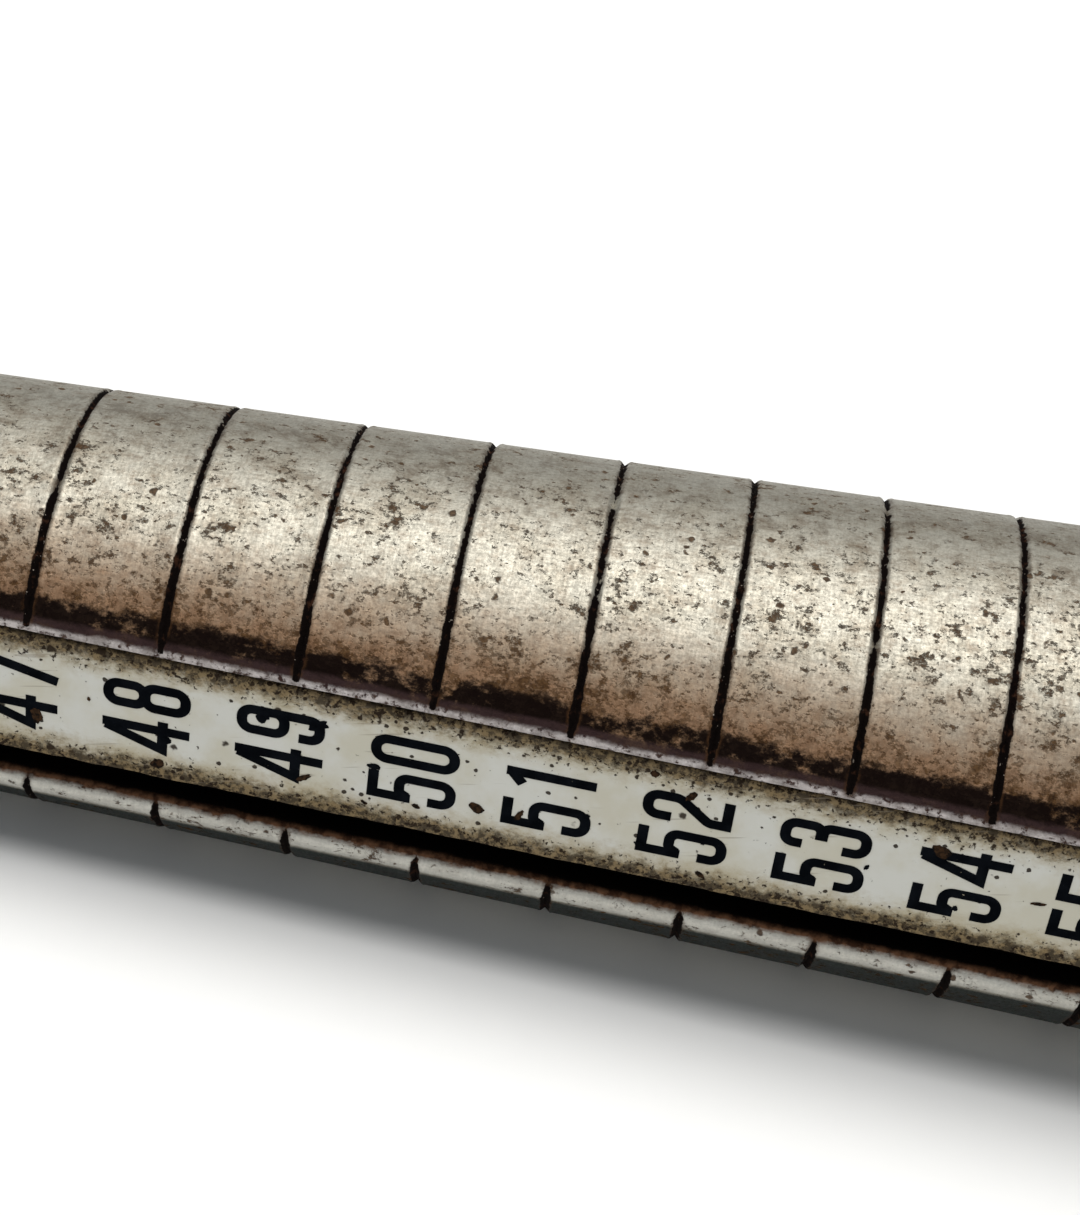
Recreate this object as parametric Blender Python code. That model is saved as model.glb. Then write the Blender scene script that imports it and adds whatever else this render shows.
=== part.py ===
"""Ring sizer stick: a tapered aluminium gauge with a printed scale let into it, on a wooden handle.

The stick lies along X, with its thin end at -X and its scale facing -Y. The origin is the centre of
its bounding box, on the axis of the taper. Units are metres and +Z is up.

A size is the inner circumference of a ring in millimetres, so the taper's radius at the line of
size N is N / (2 pi) mm. The lines stand a constant pitch apart, which makes the taper a true cone.
"""

import math

import bmesh
import bpy
from mathutils import Matrix, Vector

MM = 0.001

# Scale and taper
FIRST_SIZE = 41
LAST_SIZE = 76
PITCH = 4.625 * MM  # along the axis, from one size to the next
NOSE_LENGTH = 7.0 * MM  # from the thin end to the first line
BASE_LENGTH = 9.0 * MM  # from the last line to the shoulder
NOSE_RADIUS = 1.2 * MM  # rounding of the thin end
NOSE_STEPS = 3
BASE_CHAMFER = 0.5 * MM
LINE_WIDTH = 0.40 * MM  # each size line is a V groove turned into the taper
LINE_DEPTH = 0.25 * MM

# Channel and the strip that lies in it
CHANNEL_WIDTH = 6.2 * MM
CHANNEL_DEPTH = 2.1 * MM  # from the cone's surface, so the floor is parallel to it
CHANNEL_END = 4.0 * MM  # left uncut before the shoulder
CHANNEL_CORNER = 1.5 * MM
STRIP_WIDTH = 5.0 * MM
STRIP_OFFSET = 0.47 * MM  # towards the upper lip (+Z), where the strip has slid in its channel
STRIP_THICKNESS = 0.9 * MM
STRIP_FACE_DEPTH = 0.85 * MM  # from the cone's surface to the printed face
STRIP_END_GAP = 0.6 * MM
STRIP_CORNER = 0.8 * MM
STRIP_PIN_RADIUS = 0.7 * MM
STRIP_PIN_HEAD_RADIUS = 1.2 * MM
STRIP_PIN_HEAD_HEIGHT = 0.45 * MM
STRIP_PIN_HEAD_STEPS = 3
STRIP_PIN_POINT = 0.4 * MM
STRIP_PIN_LENGTH = 3.0 * MM  # below the printed face
STRIP_PIN_FROM_END = 2.6 * MM  # from each end of the channel

# Spigot of the stick, which stands in the handle
SPIGOT_RADIUS = 6.5 * MM
SPIGOT_LENGTH = 26.0 * MM
ROD_HOLE_DEPTH = 10.0 * MM

# Handle
TOTAL_LENGTH = 280.0 * MM
WASHER_THICKNESS = 1.6 * MM
WASHER_RADIUS = 12.3 * MM
FERRULE_LENGTH = 18.0 * MM
FERRULE_RADIUS = 12.2 * MM
FERRULE_WALL = 1.0 * MM
GRIP_HALF_WIDTH = 14.0 * MM  # from the axis to each of its eight flats
GRIP_SIDES = 8
GRIP_FRONT_RADIUS = 12.0 * MM  # where the wood meets the ferrule
GRIP_SWELL_LENGTH = 24.0 * MM  # over which the round front turns into eight flats
GRIP_SWELL_STEPS = 6
GRIP_END_CHAMFER = 2.5 * MM
GRIP_END_HALF_WIDTH = 12.4 * MM
FERRULE_PIN_RADIUS = 1.5 * MM
FERRULE_PIN_PROUD = 0.15 * MM

# Rod through the handle, with what holds it at the back
ROD_RADIUS = 3.0 * MM
BACK_BORE_RADIUS = 9.3 * MM
BACK_BORE_DEPTH = 10.0 * MM
ROD_WASHER_RADIUS = 8.5 * MM
ROD_WASHER_THICKNESS = 1.2 * MM
NUT_HALF_WIDTH = 5.0 * MM
NUT_SIDES = 6
NUT_HEIGHT = 5.0 * MM
NUT_CHAMFER = 0.6 * MM
ROD_PAST_NUT = 0.4 * MM
PLUG_THICKNESS = 2.4 * MM
PLUG_RECESS = 0.2 * MM
PLUG_CHAMFER = 0.4 * MM

# Clearances and mesh fineness
GAP = 0.3 * MM  # round a pin, rod or spigot
SEAT_GAP = 0.15 * MM  # between flat faces that rest on each other
OVERCUT = 2.0 * MM  # how far a cutter runs past the wall it cuts
TAPER_SEGMENTS = 32
HANDLE_SEGMENTS = 32
SMALL_SEGMENTS = 16
MERGE = 0.0001 * MM
SHARP_ANGLE = math.radians(30)

# Places along X
NOSE_X = -TOTAL_LENGTH / 2
BACK_X = TOTAL_LENGTH / 2
FIRST_LINE_X = NOSE_X + NOSE_LENGTH
LAST_LINE_X = FIRST_LINE_X + (LAST_SIZE - FIRST_SIZE) * PITCH
SHOULDER_X = LAST_LINE_X + BASE_LENGTH
CHANNEL_END_X = SHOULDER_X - CHANNEL_END
SPIGOT_END_X = SHOULDER_X + SPIGOT_LENGTH
WASHER_X = SHOULDER_X + SEAT_GAP
FERRULE_X = WASHER_X + WASHER_THICKNESS + SEAT_GAP
FERRULE_END_X = FERRULE_X + FERRULE_LENGTH
FERRULE_PIN_X = FERRULE_X + FERRULE_LENGTH * 0.5
GRIP_FRONT_X = FERRULE_X + FERRULE_WALL + SEAT_GAP
BACK_BORE_X = BACK_X - BACK_BORE_DEPTH
ROD_WASHER_X = BACK_BORE_X + SEAT_GAP
NUT_X = ROD_WASHER_X + ROD_WASHER_THICKNESS + SEAT_GAP
ROD_END_X = NUT_X + NUT_HEIGHT + ROD_PAST_NUT
ROD_START_X = SPIGOT_END_X - ROD_HOLE_DEPTH + GAP
PLUG_END_X = BACK_X - PLUG_RECESS

TAPER_ANGLE = math.atan(MM / (2 * math.pi) / PITCH)

# Slot: base colour, metallic, roughness
FINISHES = {
    "aluminium": ((0.62, 0.58, 0.52), 1.0, 0.42),
    "printed_strip": ((0.66, 0.64, 0.56), 0.0, 0.55),
    "steel": ((0.50, 0.49, 0.47), 1.0, 0.40),
    "brass": ((0.62, 0.45, 0.18), 1.0, 0.38),
    "leather": ((0.16, 0.08, 0.04), 0.0, 0.80),
    "hardwood": ((0.36, 0.19, 0.08), 0.0, 0.50),
}


def cone_radius(x):
    """Radius of the taper at x, which is size / (2 pi) in millimetres."""
    size = FIRST_SIZE + (x - FIRST_LINE_X) / PITCH
    return size * MM / (2 * math.pi)


# Shape helpers ----------------------------------------------------------------------------------


def finished_object(name, bm, finish):
    """Turn a bmesh into an object with its own material, shaded smooth except at sharp edges."""
    bmesh.ops.remove_doubles(bm, verts=bm.verts, dist=MERGE)
    bmesh.ops.recalc_face_normals(bm, faces=bm.faces)
    mesh = bpy.data.meshes.new(name)
    bm.to_mesh(mesh)
    bm.free()
    mesh.shade_smooth()
    mesh.set_sharp_from_angle(angle=SHARP_ANGLE)
    obj = bpy.data.objects.new(name, mesh)
    bpy.context.collection.objects.link(obj)
    if finish:
        mesh.materials.append(material(name, finish))
    return obj


def material(name, finish):
    color, metallic, roughness = FINISHES[finish]
    made = bpy.data.materials.new(f"{name}_{finish}")
    made.use_nodes = True
    shader = made.node_tree.nodes["Principled BSDF"]
    shader.inputs["Base Color"].default_value = (*color, 1.0)
    shader.inputs["Metallic"].default_value = metallic
    shader.inputs["Roughness"].default_value = roughness
    return made


def turned(name, profile, finish, segments, hollow=False):
    """Spin (x, radius) points about the X axis. A hollow profile is closed, and never meets the axis."""
    bm = bmesh.new()
    verts = [bm.verts.new((x, -radius, 0)) for x, radius in profile]
    ends = verts[1:] + verts[:1] if hollow else verts[1:]
    edges = [bm.edges.new(pair) for pair in zip(verts, ends)]
    bmesh.ops.spin(
        bm,
        geom=verts + edges,
        cent=(0, 0, 0),
        axis=(1, 0, 0),
        angle=2 * math.pi,
        steps=segments,
        use_merge=True,
    )
    return finished_object(name, bm, finish)


def polygon_radius(angle, sides, half_width):
    """Distance from the centre of a regular polygon to its edge, with a flat centred on angle 0."""
    step = 2 * math.pi / sides
    return half_width / math.cos((angle + step / 2) % step - step / 2)


def lofted_tube(name, stations, finish, segments):
    """Skin rings of (x, radius at an angle) into a tube whose last ring joins its first."""
    bm = bmesh.new()
    angles = [2 * math.pi * i / segments for i in range(segments)]
    rings = []
    for x, radius_at in stations:
        places = [(x, radius_at(a) * math.cos(a), radius_at(a) * math.sin(a)) for a in angles]
        rings.append([bm.verts.new(place) for place in places])
    for ring, following in zip(rings, rings[1:] + rings[:1]):
        for i in range(segments):
            j = (i + 1) % segments
            bm.faces.new((ring[i], ring[j], following[j], following[i]))
    return finished_object(name, bm, finish)


def circle(radius):
    return lambda angle: radius


def plate(name, length, width, low, high, corner, finish, round_start=True):
    """A flat bar from x = 0 to length, centred on Y, with its upright edges rounded at one or both ends."""
    bm = bmesh.new()
    bmesh.ops.create_cube(bm, size=1.0)
    for vert in bm.verts:
        vert.co.x = (vert.co.x + 0.5) * length
        vert.co.y *= width
        vert.co.z = low if vert.co.z < 0 else high
    upright = [
        edge
        for edge in bm.edges
        if abs(edge.verts[0].co.z - edge.verts[1].co.z) > (high - low) / 2
        and (round_start or edge.verts[0].co.x > length / 2)
    ]
    bmesh.ops.bevel(bm, geom=upright, offset=corner, segments=3, profile=0.5, affect="EDGES")
    return finished_object(name, bm, finish)


def cylinder_cutter(name, radius, half_length):
    profile = [(-half_length, 0), (-half_length, radius), (half_length, radius), (half_length, 0)]
    return turned(name, profile, None, SMALL_SEGMENTS)


def cut(obj, cutter):
    """Take the cutter out of the object, and keep the cutter out of the finished model."""
    boolean = obj.modifiers.new(cutter.name, "BOOLEAN")
    boolean.operation = "DIFFERENCE"
    boolean.solver = "EXACT"
    boolean.object = cutter
    cutter.hide_render = True
    cutter.display_type = "WIRE"


def channel_place(x, depth):
    """Local axes for something in the channel: X along the cone, Y up (+Z), Z out of the channel."""
    along = Vector((math.cos(TAPER_ANGLE), -math.sin(TAPER_ANGLE), 0))
    outward = Vector((-math.sin(TAPER_ANGLE), -math.cos(TAPER_ANGLE), 0))
    up = Vector((0, 0, 1))
    place = Matrix((along, up, outward)).transposed().to_4x4()
    place.translation = Vector((x, -cone_radius(x), 0)) - depth * outward
    return place


def strip_place(x):
    """The same axes, on the middle of the strip's printed face."""
    return channel_place(x, STRIP_FACE_DEPTH) @ Matrix.Translation((0, STRIP_OFFSET, 0))


def along_cone(x_start, x_end):
    """Distance along the cone's surface between two places on the axis."""
    return (x_end - x_start) / math.cos(TAPER_ANGLE)


POINT_OUTWARD = Matrix.Rotation(-math.pi / 2, 4, "Y")  # turns a piece made along X to point along Z
POINT_ALONG_Y = Matrix.Rotation(math.pi / 2, 4, "Z")  # turns a piece made along X to lie along Y


# The gauge ---------------------------------------------------------------------------------------


def taper_profile():
    """Outline of the stick from its nose to the bottom of the hole for the rod."""
    nose_edge = cone_radius(NOSE_X)
    points = [(NOSE_X, 0)]
    for step in range(NOSE_STEPS + 1):
        turn = math.pi / 2 * step / NOSE_STEPS
        x = NOSE_X + NOSE_RADIUS * (1 - math.cos(turn))
        points.append((x, nose_edge - NOSE_RADIUS * (1 - math.sin(turn))))
    for size in range(FIRST_SIZE, LAST_SIZE + 1):
        x = FIRST_LINE_X + (size - FIRST_SIZE) * PITCH
        points += [
            (x - LINE_WIDTH / 2, cone_radius(x - LINE_WIDTH / 2)),
            (x, cone_radius(x) - LINE_DEPTH),
            (x + LINE_WIDTH / 2, cone_radius(x + LINE_WIDTH / 2)),
        ]
    base_radius = cone_radius(SHOULDER_X)
    hole_radius = ROD_RADIUS + GAP
    points += [
        (SHOULDER_X - BASE_CHAMFER, cone_radius(SHOULDER_X - BASE_CHAMFER)),
        (SHOULDER_X, base_radius - BASE_CHAMFER),
        (SHOULDER_X, SPIGOT_RADIUS),
        (SPIGOT_END_X - BASE_CHAMFER, SPIGOT_RADIUS),
        (SPIGOT_END_X, SPIGOT_RADIUS - BASE_CHAMFER),
        (SPIGOT_END_X, hole_radius),
        (SPIGOT_END_X - ROD_HOLE_DEPTH, hole_radius),
        (SPIGOT_END_X - ROD_HOLE_DEPTH, 0),
    ]
    return points


def make_mandrel_body():
    body = turned("mandrel_body", taper_profile(), "aluminium", TAPER_SEGMENTS)
    start_x = NOSE_X - OVERCUT
    channel = plate(
        "channel_cutter",
        along_cone(start_x, CHANNEL_END_X),
        CHANNEL_WIDTH,
        -CHANNEL_DEPTH,
        OVERCUT,
        CHANNEL_CORNER,
        None,
        round_start=False,
    )
    channel.matrix_world = channel_place(start_x, 0)
    cut(body, channel)
    for x in strip_pin_places().values():
        cut(body, strip_pin_hole(x))
    cut(body, ferrule_pin_hole())
    return body


def strip_pin_places():
    return {
        "tip": NOSE_X + STRIP_PIN_FROM_END,
        "base": CHANNEL_END_X - STRIP_PIN_FROM_END,
    }


def strip_pin_hole(x):
    """A cutter for one pin's hole, through the strip and on into the floor of the channel."""
    hole = cylinder_cutter("strip_pin_cutter", STRIP_PIN_RADIUS + GAP, STRIP_PIN_LENGTH + GAP)
    hole.matrix_world = strip_place(x) @ POINT_OUTWARD
    return hole


def make_scale_strip():
    start_x = NOSE_X + STRIP_END_GAP
    end_x = CHANNEL_END_X - STRIP_END_GAP
    strip = plate(
        "scale_strip",
        along_cone(start_x, end_x),
        STRIP_WIDTH,
        -STRIP_THICKNESS,
        0,
        STRIP_CORNER,
        "printed_strip",
    )
    strip.matrix_world = strip_place(start_x)
    for x in strip_pin_places().values():
        cut(strip, strip_pin_hole(x))
    return strip


def make_strip_pin(end, x):
    """A round-headed pin, from its point to the crown of its head."""
    head, shank = STRIP_PIN_HEAD_RADIUS, STRIP_PIN_RADIUS
    low = SEAT_GAP
    profile = [(-STRIP_PIN_LENGTH, 0), (-STRIP_PIN_LENGTH + STRIP_PIN_POINT, shank), (low, shank)]
    for step in range(STRIP_PIN_HEAD_STEPS):
        turn = math.pi / 2 * step / STRIP_PIN_HEAD_STEPS
        profile.append((low + STRIP_PIN_HEAD_HEIGHT * math.sin(turn), head * math.cos(turn)))
    profile.append((low + STRIP_PIN_HEAD_HEIGHT, 0))
    pin = turned(f"strip_pin_{end}", profile, "steel", SMALL_SEGMENTS)
    pin.matrix_world = strip_place(x) @ POINT_OUTWARD
    return pin


# The handle --------------------------------------------------------------------------------------


def make_shoulder_washer():
    inner, outer = SPIGOT_RADIUS + GAP, WASHER_RADIUS
    end_x = WASHER_X + WASHER_THICKNESS
    profile = [(WASHER_X, inner), (WASHER_X, outer), (end_x, outer), (end_x, inner)]
    return turned("shoulder_washer", profile, "leather", HANDLE_SEGMENTS, hollow=True)


def make_ferrule():
    """A brass cup with a hole in its floor for the spigot, and chamfered outer edges."""
    outer, inner = FERRULE_RADIUS, FERRULE_RADIUS - FERRULE_WALL
    floor_hole = SPIGOT_RADIUS + GAP
    profile = [
        (FERRULE_X, floor_hole),
        (FERRULE_X, outer - BASE_CHAMFER),
        (FERRULE_X + BASE_CHAMFER, outer),
        (FERRULE_END_X - BASE_CHAMFER, outer),
        (FERRULE_END_X, outer - BASE_CHAMFER),
        (FERRULE_END_X, inner),
        (FERRULE_X + FERRULE_WALL, inner),
        (FERRULE_X + FERRULE_WALL, floor_hole),
    ]
    ferrule = turned("ferrule", profile, "brass", HANDLE_SEGMENTS, hollow=True)
    cut(ferrule, ferrule_pin_hole())
    return ferrule


def ferrule_pin_hole():
    hole = cylinder_cutter("ferrule_pin_cutter", FERRULE_PIN_RADIUS + GAP, FERRULE_RADIUS + OVERCUT)
    hole.matrix_world = Matrix.Translation((FERRULE_PIN_X, 0, 0)) @ POINT_ALONG_Y
    return hole


def make_ferrule_pin():
    """A rivet across the ferrule, with both ends slightly crowned."""
    half = FERRULE_RADIUS + FERRULE_PIN_PROUD
    edge = half - FERRULE_PIN_PROUD
    crown = FERRULE_PIN_RADIUS * 0.6
    profile = [
        (-half, 0),
        (-half, crown),
        (-edge, FERRULE_PIN_RADIUS),
        (edge, FERRULE_PIN_RADIUS),
        (half, crown),
        (half, 0),
    ]
    pin = turned("ferrule_pin", profile, "brass", SMALL_SEGMENTS)
    pin.matrix_world = Matrix.Translation((FERRULE_PIN_X, 0, 0)) @ POINT_ALONG_Y
    return pin


def swelling(share):
    """Grip outline part of the way from its round front (0) to its eight flats (1)."""
    ease = share * share * (3 - 2 * share)

    def radius_at(angle):
        flat = polygon_radius(angle, GRIP_SIDES, GRIP_HALF_WIDTH)
        return GRIP_FRONT_RADIUS + ease * (flat - GRIP_FRONT_RADIUS)

    return radius_at


def make_handle_grip():
    """An octagonal grip with a round neck for the ferrule, bored right through in three sizes."""
    neck = FERRULE_RADIUS - FERRULE_WALL - GAP
    swell_x = FERRULE_END_X + SEAT_GAP
    outside = [(GRIP_FRONT_X, circle(neck)), (swell_x, circle(neck))]
    for step in range(GRIP_SWELL_STEPS + 1):
        share = step / GRIP_SWELL_STEPS
        outside.append((swell_x + GRIP_SWELL_LENGTH * share, swelling(share)))
    outside += [
        (BACK_X - GRIP_END_CHAMFER, swelling(1)),
        (BACK_X, lambda angle: polygon_radius(angle, GRIP_SIDES, GRIP_END_HALF_WIDTH)),
    ]
    bore_end_x = SPIGOT_END_X + GAP
    inside = [
        (BACK_X, circle(BACK_BORE_RADIUS)),
        (BACK_BORE_X, circle(BACK_BORE_RADIUS)),
        (BACK_BORE_X, circle(ROD_RADIUS + GAP)),
        (bore_end_x, circle(ROD_RADIUS + GAP)),
        (bore_end_x, circle(SPIGOT_RADIUS + GAP)),
        (GRIP_FRONT_X, circle(SPIGOT_RADIUS + GAP)),
    ]
    grip = lofted_tube("handle_grip", outside + inside, "hardwood", HANDLE_SEGMENTS)
    cut(grip, ferrule_pin_hole())
    return grip


def make_tang_rod():
    chamfer = NUT_CHAMFER
    profile = [
        (ROD_START_X, 0),
        (ROD_START_X, ROD_RADIUS - chamfer),
        (ROD_START_X + chamfer, ROD_RADIUS),
        (ROD_END_X - chamfer, ROD_RADIUS),
        (ROD_END_X, ROD_RADIUS - chamfer),
        (ROD_END_X, 0),
    ]
    return turned("tang_rod", profile, "steel", SMALL_SEGMENTS)


def make_rod_washer():
    inner, outer = ROD_RADIUS + GAP, ROD_WASHER_RADIUS
    end_x = ROD_WASHER_X + ROD_WASHER_THICKNESS
    profile = [(ROD_WASHER_X, inner), (ROD_WASHER_X, outer), (end_x, outer), (end_x, inner)]
    return turned("rod_washer", profile, "steel", HANDLE_SEGMENTS, hollow=True)


def make_rod_nut():
    def hexagon(angle):
        return polygon_radius(angle, NUT_SIDES, NUT_HALF_WIDTH)

    chamfered = circle(NUT_HALF_WIDTH)
    bore = circle(ROD_RADIUS + GAP)
    end_x = NUT_X + NUT_HEIGHT
    stations = [
        (NUT_X, bore),
        (NUT_X, chamfered),
        (NUT_X + NUT_CHAMFER, hexagon),
        (end_x - NUT_CHAMFER, hexagon),
        (end_x, chamfered),
        (end_x, bore),
    ]
    return lofted_tube("rod_nut", stations, "steel", 4 * NUT_SIDES)


def make_end_plug():
    radius = BACK_BORE_RADIUS - GAP
    start_x = PLUG_END_X - PLUG_THICKNESS
    profile = [
        (start_x, 0),
        (start_x, radius),
        (PLUG_END_X - PLUG_CHAMFER, radius),
        (PLUG_END_X, radius - PLUG_CHAMFER),
        (PLUG_END_X, 0),
    ]
    return turned("end_plug", profile, "brass", HANDLE_SEGMENTS)


# Assembly ----------------------------------------------------------------------------------------


def main():
    for obj in list(bpy.data.objects):
        bpy.data.objects.remove(obj)
    make_mandrel_body()
    make_scale_strip()
    for end, x in strip_pin_places().items():
        make_strip_pin(end, x)
    make_shoulder_washer()
    make_ferrule()
    make_ferrule_pin()
    make_handle_grip()
    make_tang_rod()
    make_rod_washer()
    make_rod_nut()
    make_end_plug()
    assembly = bpy.data.objects.new("ring_sizer_stick", None)
    bpy.context.collection.objects.link(assembly)
    for obj in list(bpy.data.objects):
        if obj is not assembly:
            obj.parent = assembly


main()
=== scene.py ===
"""Looks of the ring sizer stick: a worn aluminium taper with a printed scale let into it.

Lengths are in millimetres until a mesh is made, in the frame of the CAD model: X along the stick
with its thin end at -X, the scale facing -Y, +Z up, and the origin on the axis of the taper.
"""

import math
import random

import bpy
import numpy as np
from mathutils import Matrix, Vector
from mathutils.noise import noise


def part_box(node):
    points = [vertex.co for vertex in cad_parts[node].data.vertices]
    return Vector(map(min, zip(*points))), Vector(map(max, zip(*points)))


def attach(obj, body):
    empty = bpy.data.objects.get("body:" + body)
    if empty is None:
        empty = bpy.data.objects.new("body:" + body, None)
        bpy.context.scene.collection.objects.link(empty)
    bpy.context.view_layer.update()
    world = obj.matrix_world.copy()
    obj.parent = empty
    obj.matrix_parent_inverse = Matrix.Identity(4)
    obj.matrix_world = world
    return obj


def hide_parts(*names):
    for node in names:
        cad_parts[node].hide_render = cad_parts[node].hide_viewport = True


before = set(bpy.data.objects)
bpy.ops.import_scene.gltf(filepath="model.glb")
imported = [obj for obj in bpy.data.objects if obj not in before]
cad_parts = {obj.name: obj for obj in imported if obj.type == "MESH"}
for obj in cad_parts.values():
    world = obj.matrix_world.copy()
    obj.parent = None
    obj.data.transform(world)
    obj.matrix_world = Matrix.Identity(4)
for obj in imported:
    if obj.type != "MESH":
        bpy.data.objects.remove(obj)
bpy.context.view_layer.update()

MM = 0.001

# Scale and taper, as in the CAD model
FIRST_SIZE = 41
LAST_SIZE = 76
PITCH = 4.625
NOSE_LENGTH = 7.0
NOSE_ROUNDING = 1.2
BASE_LENGTH = 9.0
CHANNEL_HALF = 3.1
CHANNEL_DEPTH = 2.1
CHANNEL_END_GAP = 4.0
CHANNEL_CORNER = 1.5
STRIP_HALF = 2.5
STRIP_OFFSET = 0.47
STRIP_THICKNESS = 0.9
STRIP_DEPTH = 0.85
STRIP_END_GAP = 0.6
STRIP_CORNER = 0.8
STRIP_EDGE_ROUNDING = 0.14
STRIP_PIN_FROM_END = 2.6
TAPER_ANGLE = math.atan(1 / (2 * math.pi * PITCH))

# Places that the frame gives
NOSE_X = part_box("mandrel_body")[0].x / MM
SPIGOT_END_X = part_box("mandrel_body")[1].x / MM
FIRST_LINE_X = NOSE_X + NOSE_LENGTH
LAST_LINE_X = FIRST_LINE_X + (LAST_SIZE - FIRST_SIZE) * PITCH
SHOULDER_X = LAST_LINE_X + BASE_LENGTH
CHANNEL_END_X = SHOULDER_X - CHANNEL_END_GAP


def line_x(size):
    """Where a size's line stands along the stick."""
    return FIRST_LINE_X + (size - FIRST_SIZE) * PITCH


def cone_radius(x):
    """Radius of the taper, which is its size divided by 2 pi."""
    return (FIRST_SIZE + (x - FIRST_LINE_X) / PITCH) / (2 * math.pi)


def wave(x, y, z, scale, seed=0.0):
    """Smooth noise between about -1 and 1."""
    return noise(Vector((x * scale + seed, y * scale - seed, z * scale + 2 * seed)))


# Mesh helpers ------------------------------------------------------------------------------------

AXIS_RADIUS = 0.001  # a profile that ends on the axis stops this short of it


def mesh_object(name, points, faces, finish, attributes=None, smooth_angle=35):
    """An object from points in millimetres, shaded smooth except where it turns sharply.

    Each attribute is its values at the points with the one value that flat end caps have.
    """
    mesh = bpy.data.meshes.new(name)
    mesh.from_pydata((np.asarray(points, float) * MM).tolist(), [], faces)
    for key, (values, cap_value) in (attributes or {}).items():
        layer = mesh.attributes.new(key, "FLOAT", "CORNER")
        corners = [cap_value if len(face) > 4 else values[point] for face in faces for point in face]
        layer.data.foreach_set("value", np.asarray(corners, np.float32))
    mesh.shade_smooth()
    mesh.set_sharp_from_angle(angle=math.radians(smooth_angle))
    obj = bpy.data.objects.new(name, mesh)
    bpy.context.scene.collection.objects.link(obj)
    mesh.materials.append(finish)
    return obj


def skin(rings, closed_ends=True, loop=False):
    """Points and faces of a surface through rings of equally many points, with a flat cap at each end."""
    count = len(rings[0])
    points = np.concatenate([np.asarray(ring, float) for ring in rings])
    faces = []
    following = list(range(1, len(rings))) + ([0] if loop else [])
    for start, end in zip(range(len(following)), following):
        for i in range(count):
            j = (i + 1) % count
            faces.append((start * count + i, start * count + j, end * count + j, end * count + i))
    if closed_ends and not loop:
        faces.append(tuple(reversed(range(count))))
        faces.append(tuple((len(rings) - 1) * count + i for i in range(count)))
    return points, faces


def turned(name, profile, finish, segments=128, loop=False):
    """A profile of (x, radius) points spun about the X axis. A loop is a closed profile off the axis."""
    angles = np.linspace(0, 2 * math.pi, segments, endpoint=False)
    rings = []
    for x, radius in profile:
        radius = max(radius, AXIS_RADIUS)
        rings.append(np.stack([np.full(segments, x), -radius * np.cos(angles), radius * np.sin(angles)], -1))
    points, faces = skin(rings, closed_ends=not loop, loop=loop)
    return mesh_object(name, points, faces, finish)


def corner_arc(before, corner, after, radius, steps=6):
    """Points of the arc that rounds one corner of a path."""
    to_before, to_after = before - corner, after - corner
    length_before, length_after = np.linalg.norm(to_before), np.linalg.norm(to_after)
    to_before, to_after = to_before / length_before, to_after / length_after
    half_turn = math.acos(np.clip(np.dot(to_before, to_after), -1, 1)) / 2
    if radius <= 0 or half_turn > math.radians(88):
        return [corner]
    reach = min(radius / math.tan(half_turn), 0.49 * length_before, 0.49 * length_after)
    radius = reach * math.tan(half_turn)
    middle = (to_before + to_after) / np.linalg.norm(to_before + to_after)
    centre = corner + middle * radius / math.sin(half_turn)
    start = corner + to_before * reach - centre
    end = corner + to_after * reach - centre
    sweep = math.pi - 2 * half_turn
    arc = []
    for step in range(steps + 1):
        share = step / steps
        blend = (math.sin((1 - share) * sweep) * start + math.sin(share * sweep) * end) / math.sin(sweep)
        arc.append(centre + blend)
    return arc


# Shader helpers ----------------------------------------------------------------------------------


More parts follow.
